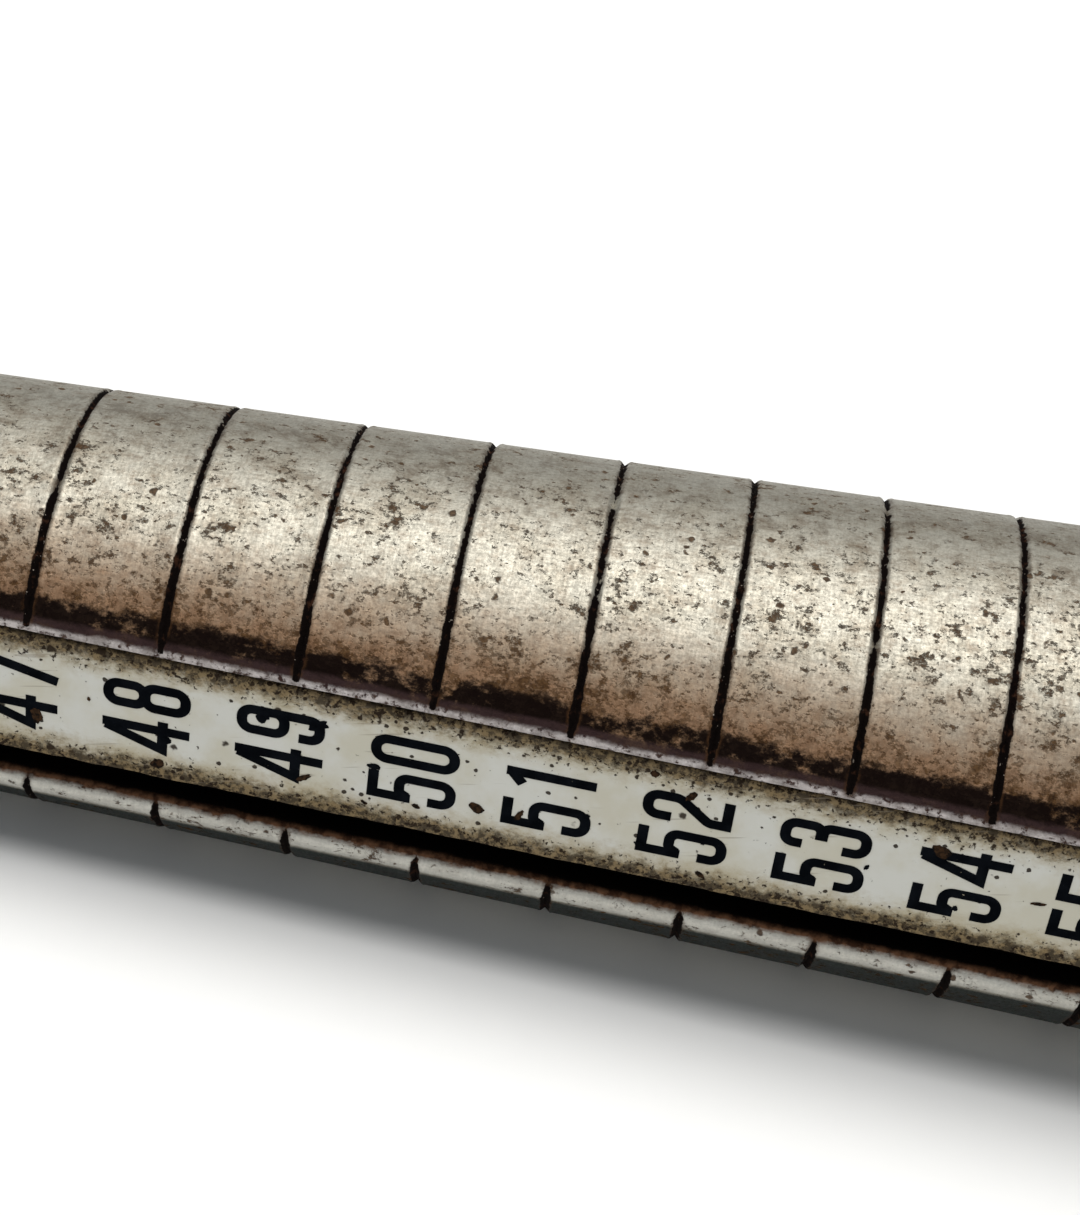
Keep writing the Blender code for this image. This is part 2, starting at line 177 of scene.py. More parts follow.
class Shader:
    """A node material, with short names for the nodes that the finishes below are made of."""

    def __init__(self, name, **settings):
        self.material = bpy.data.materials.new(name)
        self.material.use_nodes = True
        self.tree = self.material.node_tree
        self.surface = self.tree.nodes["Principled BSDF"]
        for socket, value in settings.items():
            self.surface.inputs[socket.replace("_", " ")].default_value = value

    def node(self, kind, inputs=(), output=0, **settings):
        made = self.tree.nodes.new("ShaderNode" + kind)
        for key, value in settings.items():
            setattr(made, key, value)
        for key, value in dict(inputs).items():
            self.feed(made.inputs[key], value)
        return made.outputs[output]

    def feed(self, socket, value):
        if isinstance(value, bpy.types.NodeSocket):
            self.tree.links.new(value, socket)
        elif isinstance(value, tuple) and socket.type == "RGBA" and len(value) == 3:
            socket.default_value = (*value, 1.0)
        else:
            socket.default_value = value

    def place(self):
        """The point on the object, in millimetres."""
        place = self.node("TexCoord", output="Object")
        return self.stretch(place, (1 / MM,) * 3)

    def stretch(self, vector, factors):
        return self.node("VectorMath", {0: vector, 1: factors}, operation="MULTIPLY")

    def turn(self, vector, angles):
        return self.node("VectorRotate", {0: vector, 4: angles}, rotation_type="EULER_XYZ")

    def axes(self, vector):
        split = self.tree.nodes.new("ShaderNodeSeparateXYZ")
        self.feed(split.inputs[0], vector)
        return split.outputs[0], split.outputs[1], split.outputs[2]

    def noise(self, vector, scale, detail=2.0, roughness=0.55, distortion=0.0):
        inputs = {"Vector": vector, "Scale": scale, "Detail": detail, "Roughness": roughness}
        inputs["Distortion"] = distortion
        return self.node("TexNoise", inputs)

    def cells(self, vector, scale):
        return self.node("TexVoronoi", {"Vector": vector, "Scale": scale})

    def dots(self, vector, scale, least, radius):
        """Round spots of mixed sizes, in the cells whose random number is above least."""
        cell = self.tree.nodes.new("ShaderNodeTexVoronoi")
        self.feed(cell.inputs["Vector"], vector)
        self.feed(cell.inputs["Scale"], scale)
        size = self.step(self.axes(cell.outputs["Color"])[0], least, 1.0, 0.0, radius)
        return self.step(self.add(cell.outputs["Distance"], self.times(size, -1.0)), 0.03, -0.05)

    def warp(self, vector, scale, reach):
        """The point moved a little by noise, which makes shapes irregular."""
        shift = self.node("TexNoise", {"Vector": vector, "Scale": scale, "Detail": 3.0}, output=1)
        shift = self.node("VectorMath", {0: shift, 1: (0.5, 0.5, 0.5)}, operation="SUBTRACT")
        shift = self.node("VectorMath", {0: shift, "Scale": reach}, operation="SCALE")
        return self.node("VectorMath", {0: vector, 1: shift}, operation="ADD")

    def attribute(self, name):
        return self.node("Attribute", output="Fac", attribute_name=name)

    def math(self, operation, a, b=0.0):
        return self.node("Math", {0: a, 1: b}, operation=operation)

    def add(self, a, b):
        return self.math("ADD", a, b)

    def times(self, a, b):
        return self.math("MULTIPLY", a, b)

    def step(self, value, low, high, start=0.0, end=1.0):
        """A smooth change from start to end as value goes from low to high."""
        inputs = {0: value, 1: low, 2: high, 3: start, 4: end}
        return self.node("MapRange", inputs, interpolation_type="SMOOTHSTEP")

    def mix(self, share, a, b, blend="MIX"):
        inputs = {0: share, 6: a, 7: b}
        return self.node("Mix", inputs, output=2, data_type="RGBA", blend_type=blend)

    def tint(self, color, brightness):
        """A colour times a number."""
        return self.node("VectorMath", {0: color, "Scale": brightness}, operation="SCALE")

    def most(self, a, b):
        return self.math("MAXIMUM", a, b)

    def bump(self, height, depth_mm, under=None):
        inputs = {"Height": height, "Strength": 1.0, "Distance": depth_mm * MM}
        if under is not None:
            inputs["Normal"] = under
        return self.node("Bump", inputs)

    def finish(self, color, roughness=None, metallic=None, normal=None):
        pairs = (("Base Color", color), ("Roughness", roughness), ("Metallic", metallic), ("Normal", normal))
        for socket, value in pairs:
            if value is not None:
                self.feed(self.surface.inputs[socket], value)
        return self.material


# Finishes ----------------------------------------------------------------------------------------


def aluminium_finish():
    """Worn and pitted bright metal, with grime in the size lines and beside the lips, grime and painted shade
    in the channel, painted shade past the lower lip, and painted highlights on the lips' edges and in the
    lines.
    """
    s = Shader("worn_aluminium", Specular_IOR_Level=0.03)
    p = s.place()
    lip = s.attribute("lip_distance")
    above = s.step(s.axes(p)[2], -2.0, 2.0)
    around = s.noise(s.stretch(p, (11.0, 1.6, 1.6)), 1.0, 3.0, 0.6)
    along = s.noise(s.stretch(p, (1.6, 11.0, 11.0)), 1.0, 3.0, 0.6)
    grain = s.noise(p, 8.0, 3.0, 0.75)
    hatch = s.add(s.add(s.times(around, 0.5), s.times(along, 0.5)), grain)

    metal = bare_aluminium(s, p, hatch)
    color = stained_aluminium(s, p, metal, lip, above)
    color, marks = aluminium_marks(s, p, color, grain, s.times(s.step(lip, 4.0, 0.9), above))
    color, grime = lip_grime(s, p, color, lip, above)
    color, filled = line_fill(s, p, color, s.attribute("groove"))
    color, channel_grime_and_shade = channel_dirt(s, p, color, s.attribute("recess"))

    # This mask holds the channel's painted shade as well as the marks and grime.
    dirt_and_shade = s.most(s.most(marks, grime), s.most(filled, channel_grime_and_shade))
    metallic = s.step(dirt_and_shade, 0.25, 0.9, 1.0, 0.0)
    roughness = s.add(s.step(hatch, 0.75, 1.25, 0.63, 0.53), s.times(dirt_and_shade, 0.3))
    height = s.add(s.add(s.times(hatch, 0.26), s.times(marks, -0.8)), s.times(grime, 0.5))
    return s.finish(color, roughness, metallic, s.bump(height, 0.03))


def bare_aluminium(s, p, hatch):
    """Grey metal under fine crossed scratches, with a soft brown film in places."""
    patches = s.step(s.noise(p, 0.55, 4.0, 0.6), 0.38, 0.66)
    metal = s.mix(patches, (0.446, 0.424, 0.362), (0.388, 0.360, 0.296))
    metal = s.tint(metal, s.step(hatch, 0.70, 1.30, 0.76, 1.22))
    film = s.step(s.noise(s.stretch(p, (1.0, 1.25, 1.25)), 1.7, 7.0, 0.76), 0.44, 0.72)
    metal = s.mix(s.times(film, 0.54), metal, (0.150, 0.096, 0.055))
    y = s.axes(p)[1]
    on_top = s.times(s.step(y, -3.6, -0.8), s.step(y, 3.0, 1.0))
    smudges = s.step(s.noise(s.warp(p, 0.8, 1.2), 0.85, 6.0, 0.74), 0.47, 0.66)
    return s.mix(s.times(s.times(smudges, on_top), 0.50), metal, (0.105, 0.070, 0.040))


def stained_aluminium(s, p, color, lip, above):
    """The metal goes brown towards the upper lip; the lower lip's edge is painted a lighter grey as a
    highlight, and just past it a dark dull green is painted shade under the stick.
    """
    wobble = s.add(s.noise(p, 1.5, 5.0, 0.68), -0.5)
    from_lip = s.add(lip, s.times(wobble, 2.2))
    brown = s.times(s.step(from_lip, 5.0, 1.1), above)
    color = s.mix(brown, color, (0.90, 0.67, 0.52), "MULTIPLY")
    color = s.mix(s.times(s.step(from_lip, 2.7, 1.2), above), color, (0.82, 0.72, 0.66), "MULTIPLY")
    below = s.add(1.0, s.times(above, -1.0))
    # Lighter grey on the lower lip's edge: a painted highlight.
    color = s.mix(s.times(s.times(s.step(lip, 0.38, 0.16), below), 0.5), color, (0.60, 0.60, 0.57))
    # Dark dull green just past the lower lip: painted shade, where the stick's underside faces its shadow on
    # the floor.
    painted_underside_shade = s.times(s.step(lip, 0.16, 0.60), s.step(from_lip, 4.6, 3.0))
    return s.mix(s.times(s.times(painted_underside_shade, below), 0.98), color, (0.022, 0.038, 0.040), "MULTIPLY")


def aluminium_marks(s, p, color, grain, near_lip):
    """Brown pits, finer specks and a few short scratches, all thicker in clusters and near the lip."""
    clusters = s.times(s.noise(p, 0.55, 2.0, 0.5), 0.24)
    more_pits = s.add(clusters, s.times(near_lip, 0.052))
    more_specks = s.add(clusters, s.times(near_lip, 0.150))
    pits = s.step(s.add(s.noise(s.stretch(p, (0.75, 1.0, 1.0)), 2.5, 6.0, 0.74), more_pits), 0.690, 0.765)
    specks = s.step(s.add(s.noise(s.stretch(p, (0.85, 1.0, 1.0)), 5.0, 4.0, 0.68), more_specks), 0.725, 0.850)
    spots = s.dots(s.warp(p, 4.0, 0.30), 1.5, 0.62, 0.22)
    scratch_place = s.stretch(s.turn(p, (0.3, 0.5, 0.45)), (0.55, 7.0, 7.0))
    scratches = s.step(s.noise(scratch_place, 1.0, 1.0, 0.4), 0.745, 0.80)
    marks = s.most(s.most(pits, s.times(specks, 0.8)), s.most(scratches, spots))
    mark_color = s.mix(s.step(grain, 0.35, 0.65), (0.028, 0.012, 0.004), (0.082, 0.041, 0.015))
    return s.mix(s.times(marks, 0.90), color, mark_color), marks


def lip_grime(s, p, color, lip, above):
    """A black band of grime above the upper lip, a purplish rub mark under it, and a lighter colour on the
    lip's edge, a painted highlight.
    """
    shape = s.noise(s.stretch(p, (0.7, 1.0, 1.0)), 2.4, 6.0, 0.74)
    thick = s.step(s.noise(p, 0.30, 2.0), 0.35, 0.62, 0.25, 0.42)
    near = s.times(s.step(s.math("ABSOLUTE", s.add(lip, -0.70)), 0.10, 0.95, 1.0, 0.0), thick)
    grime = s.step(s.add(shape, near), 0.585, 0.800)
    grime = s.times(s.times(grime, s.step(lip, 2.4, 1.0)), above)
    color = s.mix(s.times(grime, 0.98), color, (0.0045, 0.0022, 0.0020))
    wavering = s.add(lip, s.times(s.add(s.noise(s.stretch(p, (0.5, 1.0, 1.0)), 1.8, 5.0, 0.7), -0.5), 0.34))
    rubbed = s.times(s.times(s.step(wavering, 0.58, 0.38), 0.88), above)
    color = s.mix(rubbed, color, (0.040, 0.023, 0.023))
    # A lighter colour along the upper lip's edge: a painted highlight, dimmer where dulled.
    edge = s.times(s.step(wavering, 0.27, 0.06), s.step(s.noise(p, 3.6, 4.0, 0.65), 0.36, 0.50))
    dulled = s.step(s.noise(p, 1.3, 5.0, 0.7), 0.38, 0.62)
    painted_highlight_color = s.mix(dulled, (0.64, 0.595, 0.58), (0.38, 0.345, 0.330))
    color = s.mix(s.times(s.times(edge, 0.92), above), color, painted_highlight_color)
    return color, s.most(grime, s.times(rubbed, 0.6))


def line_fill(s, p, color, groove):
    """Black and rusty grime in the size lines, with a brown halo and a few painted glints, a light colour
    standing in for highlights on the burrs.
    """
    fuller_below = s.step(s.axes(p)[2], 8.0, 4.2, 0.78, 1.16)
    worn = s.step(s.noise(p, 0.8, 3.0, 0.6), 0.56, 0.70, 0.0, 0.30)
    deep = s.times(groove, s.add(fuller_below, s.times(worn, -1.0)))
    ragged = s.add(deep, s.times(s.add(s.noise(p, 3.6, 5.0, 0.66), -0.5), 0.62))
    filled = s.step(ragged, 0.45, 0.56)
    halo = s.times(s.step(ragged, 0.05, 0.50), s.step(s.noise(p, 1.1, 5.0, 0.7), 0.40, 0.62))
    color = s.mix(s.times(halo, 0.70), color, (0.060, 0.028, 0.012))
    rusty = s.step(s.noise(p, 2.6, 3.0), 0.56, 0.74)
    fill_color = s.mix(rusty, (0.0045, 0.0028, 0.0024), (0.042, 0.018, 0.010))
    # Painted glints: a light colour in the fill standing in for highlights on the lines' burrs.
    painted_glint = s.step(s.noise(p, 5.5, 2.0), 0.69, 0.75)
    fill_color = s.mix(s.times(painted_glint, 0.75), fill_color, (0.40, 0.34, 0.28))
    return s.mix(filled, color, fill_color), filled


def channel_dirt(s, p, color, recess):
    """Black in the channel, grime and painted shade together, deepening with the recess, which ends in a
    narrow rusty fringe on the lower lip.
    """
    rusty = s.mix(s.step(s.noise(p, 2.5, 4.0), 0.40, 0.62), (0.125, 0.062, 0.034), (0.040, 0.018, 0.010))
    ragged = s.add(recess, s.times(s.add(s.noise(s.stretch(p, (0.6, 1.0, 1.0)), 2.2, 5.0, 0.7), -0.5), 0.06))
    # Near-black deeper in the channel: grime together with painted shade.
    dirt_and_shade = s.mix(s.step(ragged, 0.035, 0.085), rusty, (0.0030, 0.0020, 0.0016))
    share = s.times(s.step(ragged, 0.002, 0.035), s.step(recess, 0.0, 0.006))
    return s.mix(share, color, dirt_and_shade), share


def enamel_finish():
    """Satin off-white enamel with nicks, and brown grime along both edges."""
    s = Shader("worn_enamel", Specular_IOR_Level=0.08)
    p = s.place()
    across = s.attribute("across")
    cloud = s.noise(p, 0.45, 4.0, 0.6)
    color = s.mix(s.step(cloud, 0.35, 0.68), (0.635, 0.632, 0.583), (0.570, 0.545, 0.450))
    wobble = s.add(s.noise(s.stretch(p, (0.75, 1.0, 1.0)), 1.9, 6.0, 0.74), -0.5)
    ragged = s.add(across, s.times(wobble, 1.7))
    tarnish = s.most(s.step(ragged, 1.20, 2.2, 0.0, 0.72), s.step(ragged, -1.0, -2.0, 0.0, 0.75))
    color = s.mix(tarnish, color, (0.36, 0.285, 0.155))
    grime = s.most(s.step(ragged, 1.70, 2.30), s.step(ragged, -1.60, -2.15))
    mottled = s.noise(p, 3.4, 4.0, 0.75)
    grime_color = s.mix(s.step(mottled, 0.43, 0.60), (0.022, 0.012, 0.005), (0.200, 0.140, 0.068))
    color = s.mix(s.times(grime, 0.90), color, grime_color)
    nearer_edge = s.step(s.math("ABSOLUTE", across), 0.9, 2.3, 0.0, 0.15)
    specks = s.step(s.add(s.noise(p, 4.6, 3.0, 0.65), nearer_edge), 0.69, 0.76)
    nicks = s.dots(s.warp(p, 3.0, 0.30), 1.15, 0.55, 0.20)
    crumbs = s.dots(s.warp(p, 7.0, 0.10), 3.2, s.add(0.86, s.times(nearer_edge, -3.6)), 0.30)
    marks = s.most(s.most(specks, nicks), crumbs)
    color = s.mix(s.times(marks, 0.94), color, (0.020, 0.012, 0.007))
    hair = s.noise(s.stretch(s.turn(p, (0.0, 0.25, 0.0)), (0.35, 6.0, 6.0)), 1.0, 1.0)
    color = s.mix(s.step(hair, 0.70, 0.76, 0.0, 0.45), color, (0.24, 0.20, 0.15))
    roughness = s.add(0.42, s.times(s.most(grime, marks), 0.4))
    height = s.add(s.times(marks, -1.0), s.times(grime, s.times(mottled, 1.2)))
    return s.finish(color, roughness, None, s.bump(height, 0.03))


def ink_finish():
    """Black printing ink with small nicks worn through to the enamel."""
    s = Shader("printing_ink", Specular_IOR_Level=0.01)
    p = s.place()
    worn = s.step(s.noise(p, 5.5, 3.0, 0.6), 0.735, 0.765)
    shade = s.mix(s.step(s.noise(p, 1.4, 3.0), 0.35, 0.7), (0.0012, 0.0018, 0.0030), (0.0040, 0.0052, 0.0075))
    color = s.mix(worn, shade, (0.30, 0.26, 0.19))
    return s.finish(color, s.step(s.noise(p, 3.0), 0.3, 0.7, 0.45, 0.62))


def grime_finish():
    """Dried dark brown grime, thinner and browner in places."""
    s = Shader("dried_grime", Specular_IOR_Level=0.04)
    p = s.place()
    color = s.mix(s.step(s.noise(p, 5.0, 4.0, 0.7), 0.38, 0.62), (0.006, 0.004, 0.003), (0.045, 0.023, 0.011))
    return s.finish(color, s.step(s.noise(p, 3.0), 0.3, 0.7, 0.7, 0.9))


def metal_finish(name, bright, dull, roughness):
    """Turned metal that has darkened in patches and been scratched in use."""
    s = Shader(name)
    p = s.place()
    around = s.noise(s.stretch(p, (9.0, 0.5, 0.5)), 1.0, 3.0, 0.6)
    patches = s.noise(s.stretch(p, (1.0, 0.6, 0.6)), 0.55, 6.0, 0.68)
    tarnish = s.step(s.add(patches, s.times(around, 0.30)), 0.54, 0.86)
    color = s.mix(tarnish, bright, dull)
    specks = s.step(s.noise(p, 3.2, 3.0, 0.6), 0.66, 0.73)
    color = s.mix(s.times(specks, 0.8), color, tuple(0.2 * c for c in dull))
    scratch_place = s.stretch(s.turn(p, (0.4, 0.2, 0.7)), (0.4, 7.0, 7.0))
    scratches = s.step(s.noise(scratch_place, 1.0, 1.0), 0.68, 0.73)
    color = s.mix(s.times(scratches, 0.5), color, tuple(1.3 * c for c in bright))
    rough = s.add(s.step(around, 0.3, 0.7, roughness - 0.06, roughness + 0.06), s.times(tarnish, 0.14))
    height = s.add(s.times(around, 0.5), s.times(s.add(specks, scratches), -1.0))
    return s.finish(color, rough, s.step(specks, 0.2, 1.0, 1.0, 0.2), s.bump(height, 0.02))


def hardwood_finish():
    """Oiled hardwood with growth rings, long pores and darker, hand-worn stretches."""
    s = Shader("oiled_hardwood", Coat_Weight=0.35, Coat_Roughness=0.30)
    p = s.place()
    sway = s.noise(s.stretch(p, (0.018, 0.10, 0.10)), 1.0, 3.0)
    y, z = s.axes(p)[1:]
    pith_y, pith_z = s.add(y, 31.0), s.add(z, 17.0)
    from_pith = s.math("SQRT", s.add(s.times(pith_y, pith_y), s.times(pith_z, pith_z)))
    rings = s.math("FRACT", s.times(s.add(from_pith, s.times(sway, 9.0)), 0.42))
    late_wood = s.times(s.step(rings, 0.35, 0.92), s.step(rings, 1.0, 0.93))
    color = s.mix(s.times(late_wood, 0.75), (0.275, 0.120, 0.044), (0.120, 0.045, 0.016))
    streaks = s.noise(s.stretch(p, (0.05, 1.3, 1.3)), 1.0, 4.0, 0.6)
    color = s.mix(s.step(streaks, 0.40, 0.72, 0.0, 0.55), color, (0.125, 0.052, 0.020))
    pores = s.step(s.noise(s.stretch(p, (0.16, 5.2, 5.2)), 1.0, 2.0, 0.5), 0.60, 0.70)
    color = s.mix(s.times(pores, 0.75), color, (0.045, 0.018, 0.008))
    handled = s.noise(s.stretch(p, (0.05, 0.12, 0.12)), 1.0, 4.0, 0.6)
    color = s.mix(s.step(handled, 0.45, 0.72, 0.0, 0.5), color, (0.085, 0.038, 0.018))
    dents = s.step(s.noise(s.stretch(s.turn(p, (0.2, 0.9, 0.4)), (0.4, 1.4, 1.4)), 0.6, 2.0), 0.70, 0.76)
    color = s.mix(s.times(dents, 0.7), color, (0.05, 0.022, 0.011))
    roughness = s.step(s.add(streaks, s.times(pores, 0.4)), 0.35, 1.0, 0.36, 0.62)
    height = s.add(s.times(pores, -0.8), s.add(s.times(late_wood, 0.25), s.times(dents, -1.5)))
    return s.finish(color, roughness, None, s.bump(height, 0.05))


def leather_finish():
    """Dark oiled leather, seen mostly on its cut edge."""
    s = Shader("oiled_leather")
    p = s.place()
    grain = s.cells(p, 2.6)
    fibres = s.noise(s.stretch(p, (5.5, 1.3, 1.3)), 1.0, 4.0, 0.6)
    color = s.mix(s.step(fibres, 0.35, 0.68), (0.075, 0.034, 0.017), (0.165, 0.085, 0.042))
    color = s.mix(s.step(grain, 0.10, 0.0, 0.0, 0.6), color, (0.03, 0.014, 0.008))
    height = s.add(s.times(grain, 1.0), s.times(fibres, 0.7))
    return s.finish(color, s.step(fibres, 0.3, 0.7, 0.62, 0.82), None, s.bump(height, 0.08))


# The gauge ---------------------------------------------------------------------------------------

UPPER, LOWER = 1, -1  # sides of the channel
UPPER_LIP_ROUNDING = 0.20
LOWER_LIP_ROUNDING = 0.50
LIP_MARGIN = 0.10  # lip distance where a lip's rounding starts
RECESS_AT_LIP = 0.10  # recess where the channel's walls start
ARC_POINTS = 128
FILLET_POINTS = 5
WALL_POINTS = 4
FLOOR_POINTS = 7
GROOVE_DEPTH = 0.15
GROOVE_HALF_WIDTH = 0.16
BURR = 0.014
GROOVE_REACH = 0.30  # from the middle of a line to where its burr ends
GROOVE_OFFSETS = (-0.30, -0.22, -0.15, -0.08, 0.0, 0.08, 0.15, 0.22, 0.30)
LAND_RINGS = 4
NOSE_RINGS = 6
CORNER_STEPS = 8
CUT_AT_LIP = 0.62  # share of a line's depth that is left where it meets the upper lip
FAR_FROM_LIP = 9.0  # given to the base and the end caps, where the lips' stains, painted highlights and painted shade don't reach
LINE_FADE = 1.1  # a line grows shallower over this length before it meets the upper lip
BASE_CHAMFER = 0.5
SPIGOT_RADIUS = 6.5
SPIGOT_BORE_RADIUS = 6.8  # of the ferrule's floor and the grip's neck
SPIGOT_END_GAP = 0.3
ROD_BORE_RADIUS = 3.3
ROD_BORE_DEPTH = 10.0


def groove_shape(offset):
    """Height of the surface at a distance from the middle of a line: a V with a low burr on each side."""
    away = abs(offset)
    if away < GROOVE_HALF_WIDTH:
        return -GROOVE_DEPTH * (1 - away / GROOVE_HALF_WIDTH)
    return BURR * math.sin(math.pi * (away - GROOVE_HALF_WIDTH) / (GROOVE_REACH - GROOVE_HALF_WIDTH))


def channel_half_width(x):
    """Half the channel's width, which narrows in a quarter circle on each side at its closed end."""
    past = x - (CHANNEL_END_X - CHANNEL_CORNER)
    if past <= 0:
        return CHANNEL_HALF
    past = min(past, CHANNEL_CORNER)
    return CHANNEL_HALF - CHANNEL_CORNER + math.sqrt(CHANNEL_CORNER**2 - past**2)


def body_ring(x, radius, floor, offset=None, size=0):
    """One cross-section of the stick, going from the upper lip over the back to the lower lip.

    A line's ring has its offset from the middle of the line. Each row is a point, how much it belongs
    to a line (1 at the line's middle), its distance from the nearer lip, and its depth in the channel
    as a share of the channel's depth.
    """
    half = channel_half_width(x)
    upper_turn, upper_centre = lip_fillet(radius, half, UPPER_LIP_ROUNDING, UPPER)
    lower_turn, lower_centre = lip_fillet(radius, half, LOWER_LIP_ROUNDING, LOWER)
    outside = back_places(radius, upper_turn, lower_turn) + lower_lip_places(lower_turn, lower_centre)
    rows = [lined_row(x, offset, size, *place) for place in outside]
    rows += channel_rows(x, half, floor, upper_centre[0], lower_centre[0])
    rows += [lined_row(x, offset, size, *place) for place in upper_lip_places(upper_turn, upper_centre)]
    return rows


def lip_fillet(radius, half, rounding, side):
    """Angle from the channel's middle to where a lip's rounding starts, and the rounding's centre."""
    up = half + rounding
    out = math.sqrt((radius - rounding) ** 2 - up**2)
    return math.atan2(up, out), (out, side * up)


def back_places(radius, upper_turn, lower_turn):
    """The arc over the back: turn, arc's radius and centre, lip distance, recess, share of a line's cut."""
    places = []
    for turn in np.linspace(upper_turn, 2 * math.pi - lower_turn, ARC_POINTS):
        from_upper = radius * (turn - upper_turn)
        from_lower = radius * (2 * math.pi - lower_turn - turn)
        lip = min(from_upper, from_lower) + LIP_MARGIN
        cut = min(1.0, CUT_AT_LIP + (1 - CUT_AT_LIP) * from_upper / LINE_FADE)
        places.append((turn, radius, (0.0, 0.0), lip, 0.0, cut))
    return places


def lower_lip_places(lip_turn, centre):
    """The lower lip's rounding, in the same terms, with the channel's grime and painted shade over the half
    of it nearer the channel.
    """
    places = []
    for step in range(1, FILLET_POINTS + 1):
        share = step / FILLET_POINTS
        turn = -lip_turn + share * (math.pi / 2 + lip_turn)
        recess = RECESS_AT_LIP * max(0.0, (share - 0.45) / 0.55)
        places.append((turn, LOWER_LIP_ROUNDING, centre, LIP_MARGIN, recess, 1 - share))
    return places


def upper_lip_places(lip_turn, centre):
    """The upper lip's rounding, in the same terms, which the lines hardly reach."""
    places = []
    for step in range(FILLET_POINTS):
        share = step / FILLET_POINTS
        turn = -math.pi / 2 + share * (math.pi / 2 + lip_turn)
        places.append((turn, UPPER_LIP_ROUNDING, centre, 0.0, 0.0, 0.6 * share**3))
    return places


def lined_row(x, offset, size, turn, arc_radius, centre, lip, recess, cut):
    """One row of a ring, at a place on one of its arcs, with its part of a line cut into it."""
    cosine, sine = math.cos(turn), math.sin(turn)
    out, up = centre[0] + arc_radius * cosine, centre[1] + arc_radius * sine
    if offset is None:
        return (x, -out, up), 0.0, lip, recess
    shift, widen, deepen = line_wear(size, out, up)
    drop = groove_shape(offset) * deepen * cut
    place = (x + shift + offset * (widen - 1), -(out + cosine * drop), up + sine * drop)
    groove = (1 - abs(offset) / GROOVE_REACH) * min(1.0, 0.10 + 0.95 * cut)
    return place, groove, lip, recess


def channel_rows(x, half, floor, upper_out, lower_out):
    """The channel's lower wall, its floor and its upper wall, where no line is cut."""
    places = []
    for step in range(1, WALL_POINTS + 1):
        places.append((lower_out - (lower_out - floor) * step / WALL_POINTS, -half))
    for step in range(1, FLOOR_POINTS):
        places.append((floor, -half + 2 * half * step / FLOOR_POINTS))
    for step in range(WALL_POINTS):
        places.append((floor + (upper_out - floor) * step / WALL_POINTS, half))
    rows = []
    for out, up in places:
        recess = RECESS_AT_LIP + (1 - RECESS_AT_LIP) * max(0.0, lower_out - out) / CHANNEL_DEPTH
        rows.append(((x, -out, up), 0.0, 0.0, recess))
    return rows


def line_wear(size, out, up):
    """How far a line wanders, how wide it is and how deep, at one place round the stick."""
    seed = 7.31 * size
    shift = 0.030 * wave(out, up, 0, 0.35, seed) + 0.014 * wave(out, up, 3, 1.7, seed)
    widen = 1 + 0.14 * wave(out, up, 5, 0.8, seed) + 0.10 * wave(out, up, 9, 2.6, seed)
    deepen = 1 + 0.25 * wave(out, up, 13, 0.9, seed)
    return shift, widen, deepen


def spread(start, end, count):
    """Places that divide a stretch into one more even part than there are places."""
    return [start + (end - start) * step / (count + 1) for step in range(1, count + 1)]


def station(x, offset=None, size=0):
    """What body_ring needs at a place on the cone."""
    return x, cone_radius(x), cone_radius(x) - CHANNEL_DEPTH, offset, size


def body_stations():
    """(x, radius, floor of the channel, offset from a line or None, size) for each ring of the stick."""
    stations = []
    for step in range(NOSE_RINGS):
        turn = math.pi / 2 * step / NOSE_RINGS
        x = NOSE_X + NOSE_ROUNDING * (1 - math.cos(turn))
        radius = cone_radius(NOSE_X) - NOSE_ROUNDING * (1 - math.sin(turn))
        stations.append((x, radius, cone_radius(x) - CHANNEL_DEPTH, None, 0))
    stations += [station(x) for x in spread(NOSE_X + NOSE_ROUNDING, FIRST_LINE_X - GROOVE_REACH, 7)]
    for size in range(FIRST_SIZE, LAST_SIZE + 1):
        middle = line_x(size)
        stations += [station(middle + offset, offset, size) for offset in GROOVE_OFFSETS]
        if size < LAST_SIZE:
            land = spread(middle + GROOVE_REACH, middle + PITCH - GROOVE_REACH, LAND_RINGS)
            stations += [station(x) for x in land]
    corner_x = CHANNEL_END_X - CHANNEL_CORNER
    stations += [station(x) for x in spread(LAST_LINE_X + GROOVE_REACH, corner_x, 3)]
    for step in range(CORNER_STEPS + 1):
        turn = math.pi / 2 * step / CORNER_STEPS
        stations.append(station(corner_x + CHANNEL_CORNER * math.sin(turn)))
    return stations


def base_profile():
    """(x, radius) past the channel's end: the base, the shoulder, the spigot and the rod's bore."""
    edge = cone_radius(SHOULDER_X)
    base_x, chamfer_x = CHANNEL_END_X + 0.6 * CHANNEL_END_GAP, SHOULDER_X - BASE_CHAMFER
    return [
        (CHANNEL_END_X + 0.02, cone_radius(CHANNEL_END_X)),
        (base_x, cone_radius(base_x)),
        (chamfer_x, cone_radius(chamfer_x)),
        (SHOULDER_X - 0.3 * BASE_CHAMFER, edge - 0.3 * BASE_CHAMFER),
        (SHOULDER_X, edge - BASE_CHAMFER),
        (SHOULDER_X, SPIGOT_RADIUS),
        (SPIGOT_END_X - BASE_CHAMFER, SPIGOT_RADIUS),
        (SPIGOT_END_X, SPIGOT_RADIUS - BASE_CHAMFER),
        (SPIGOT_END_X, ROD_BORE_RADIUS),
        (SPIGOT_END_X - ROD_BORE_DEPTH, ROD_BORE_RADIUS),
    ]


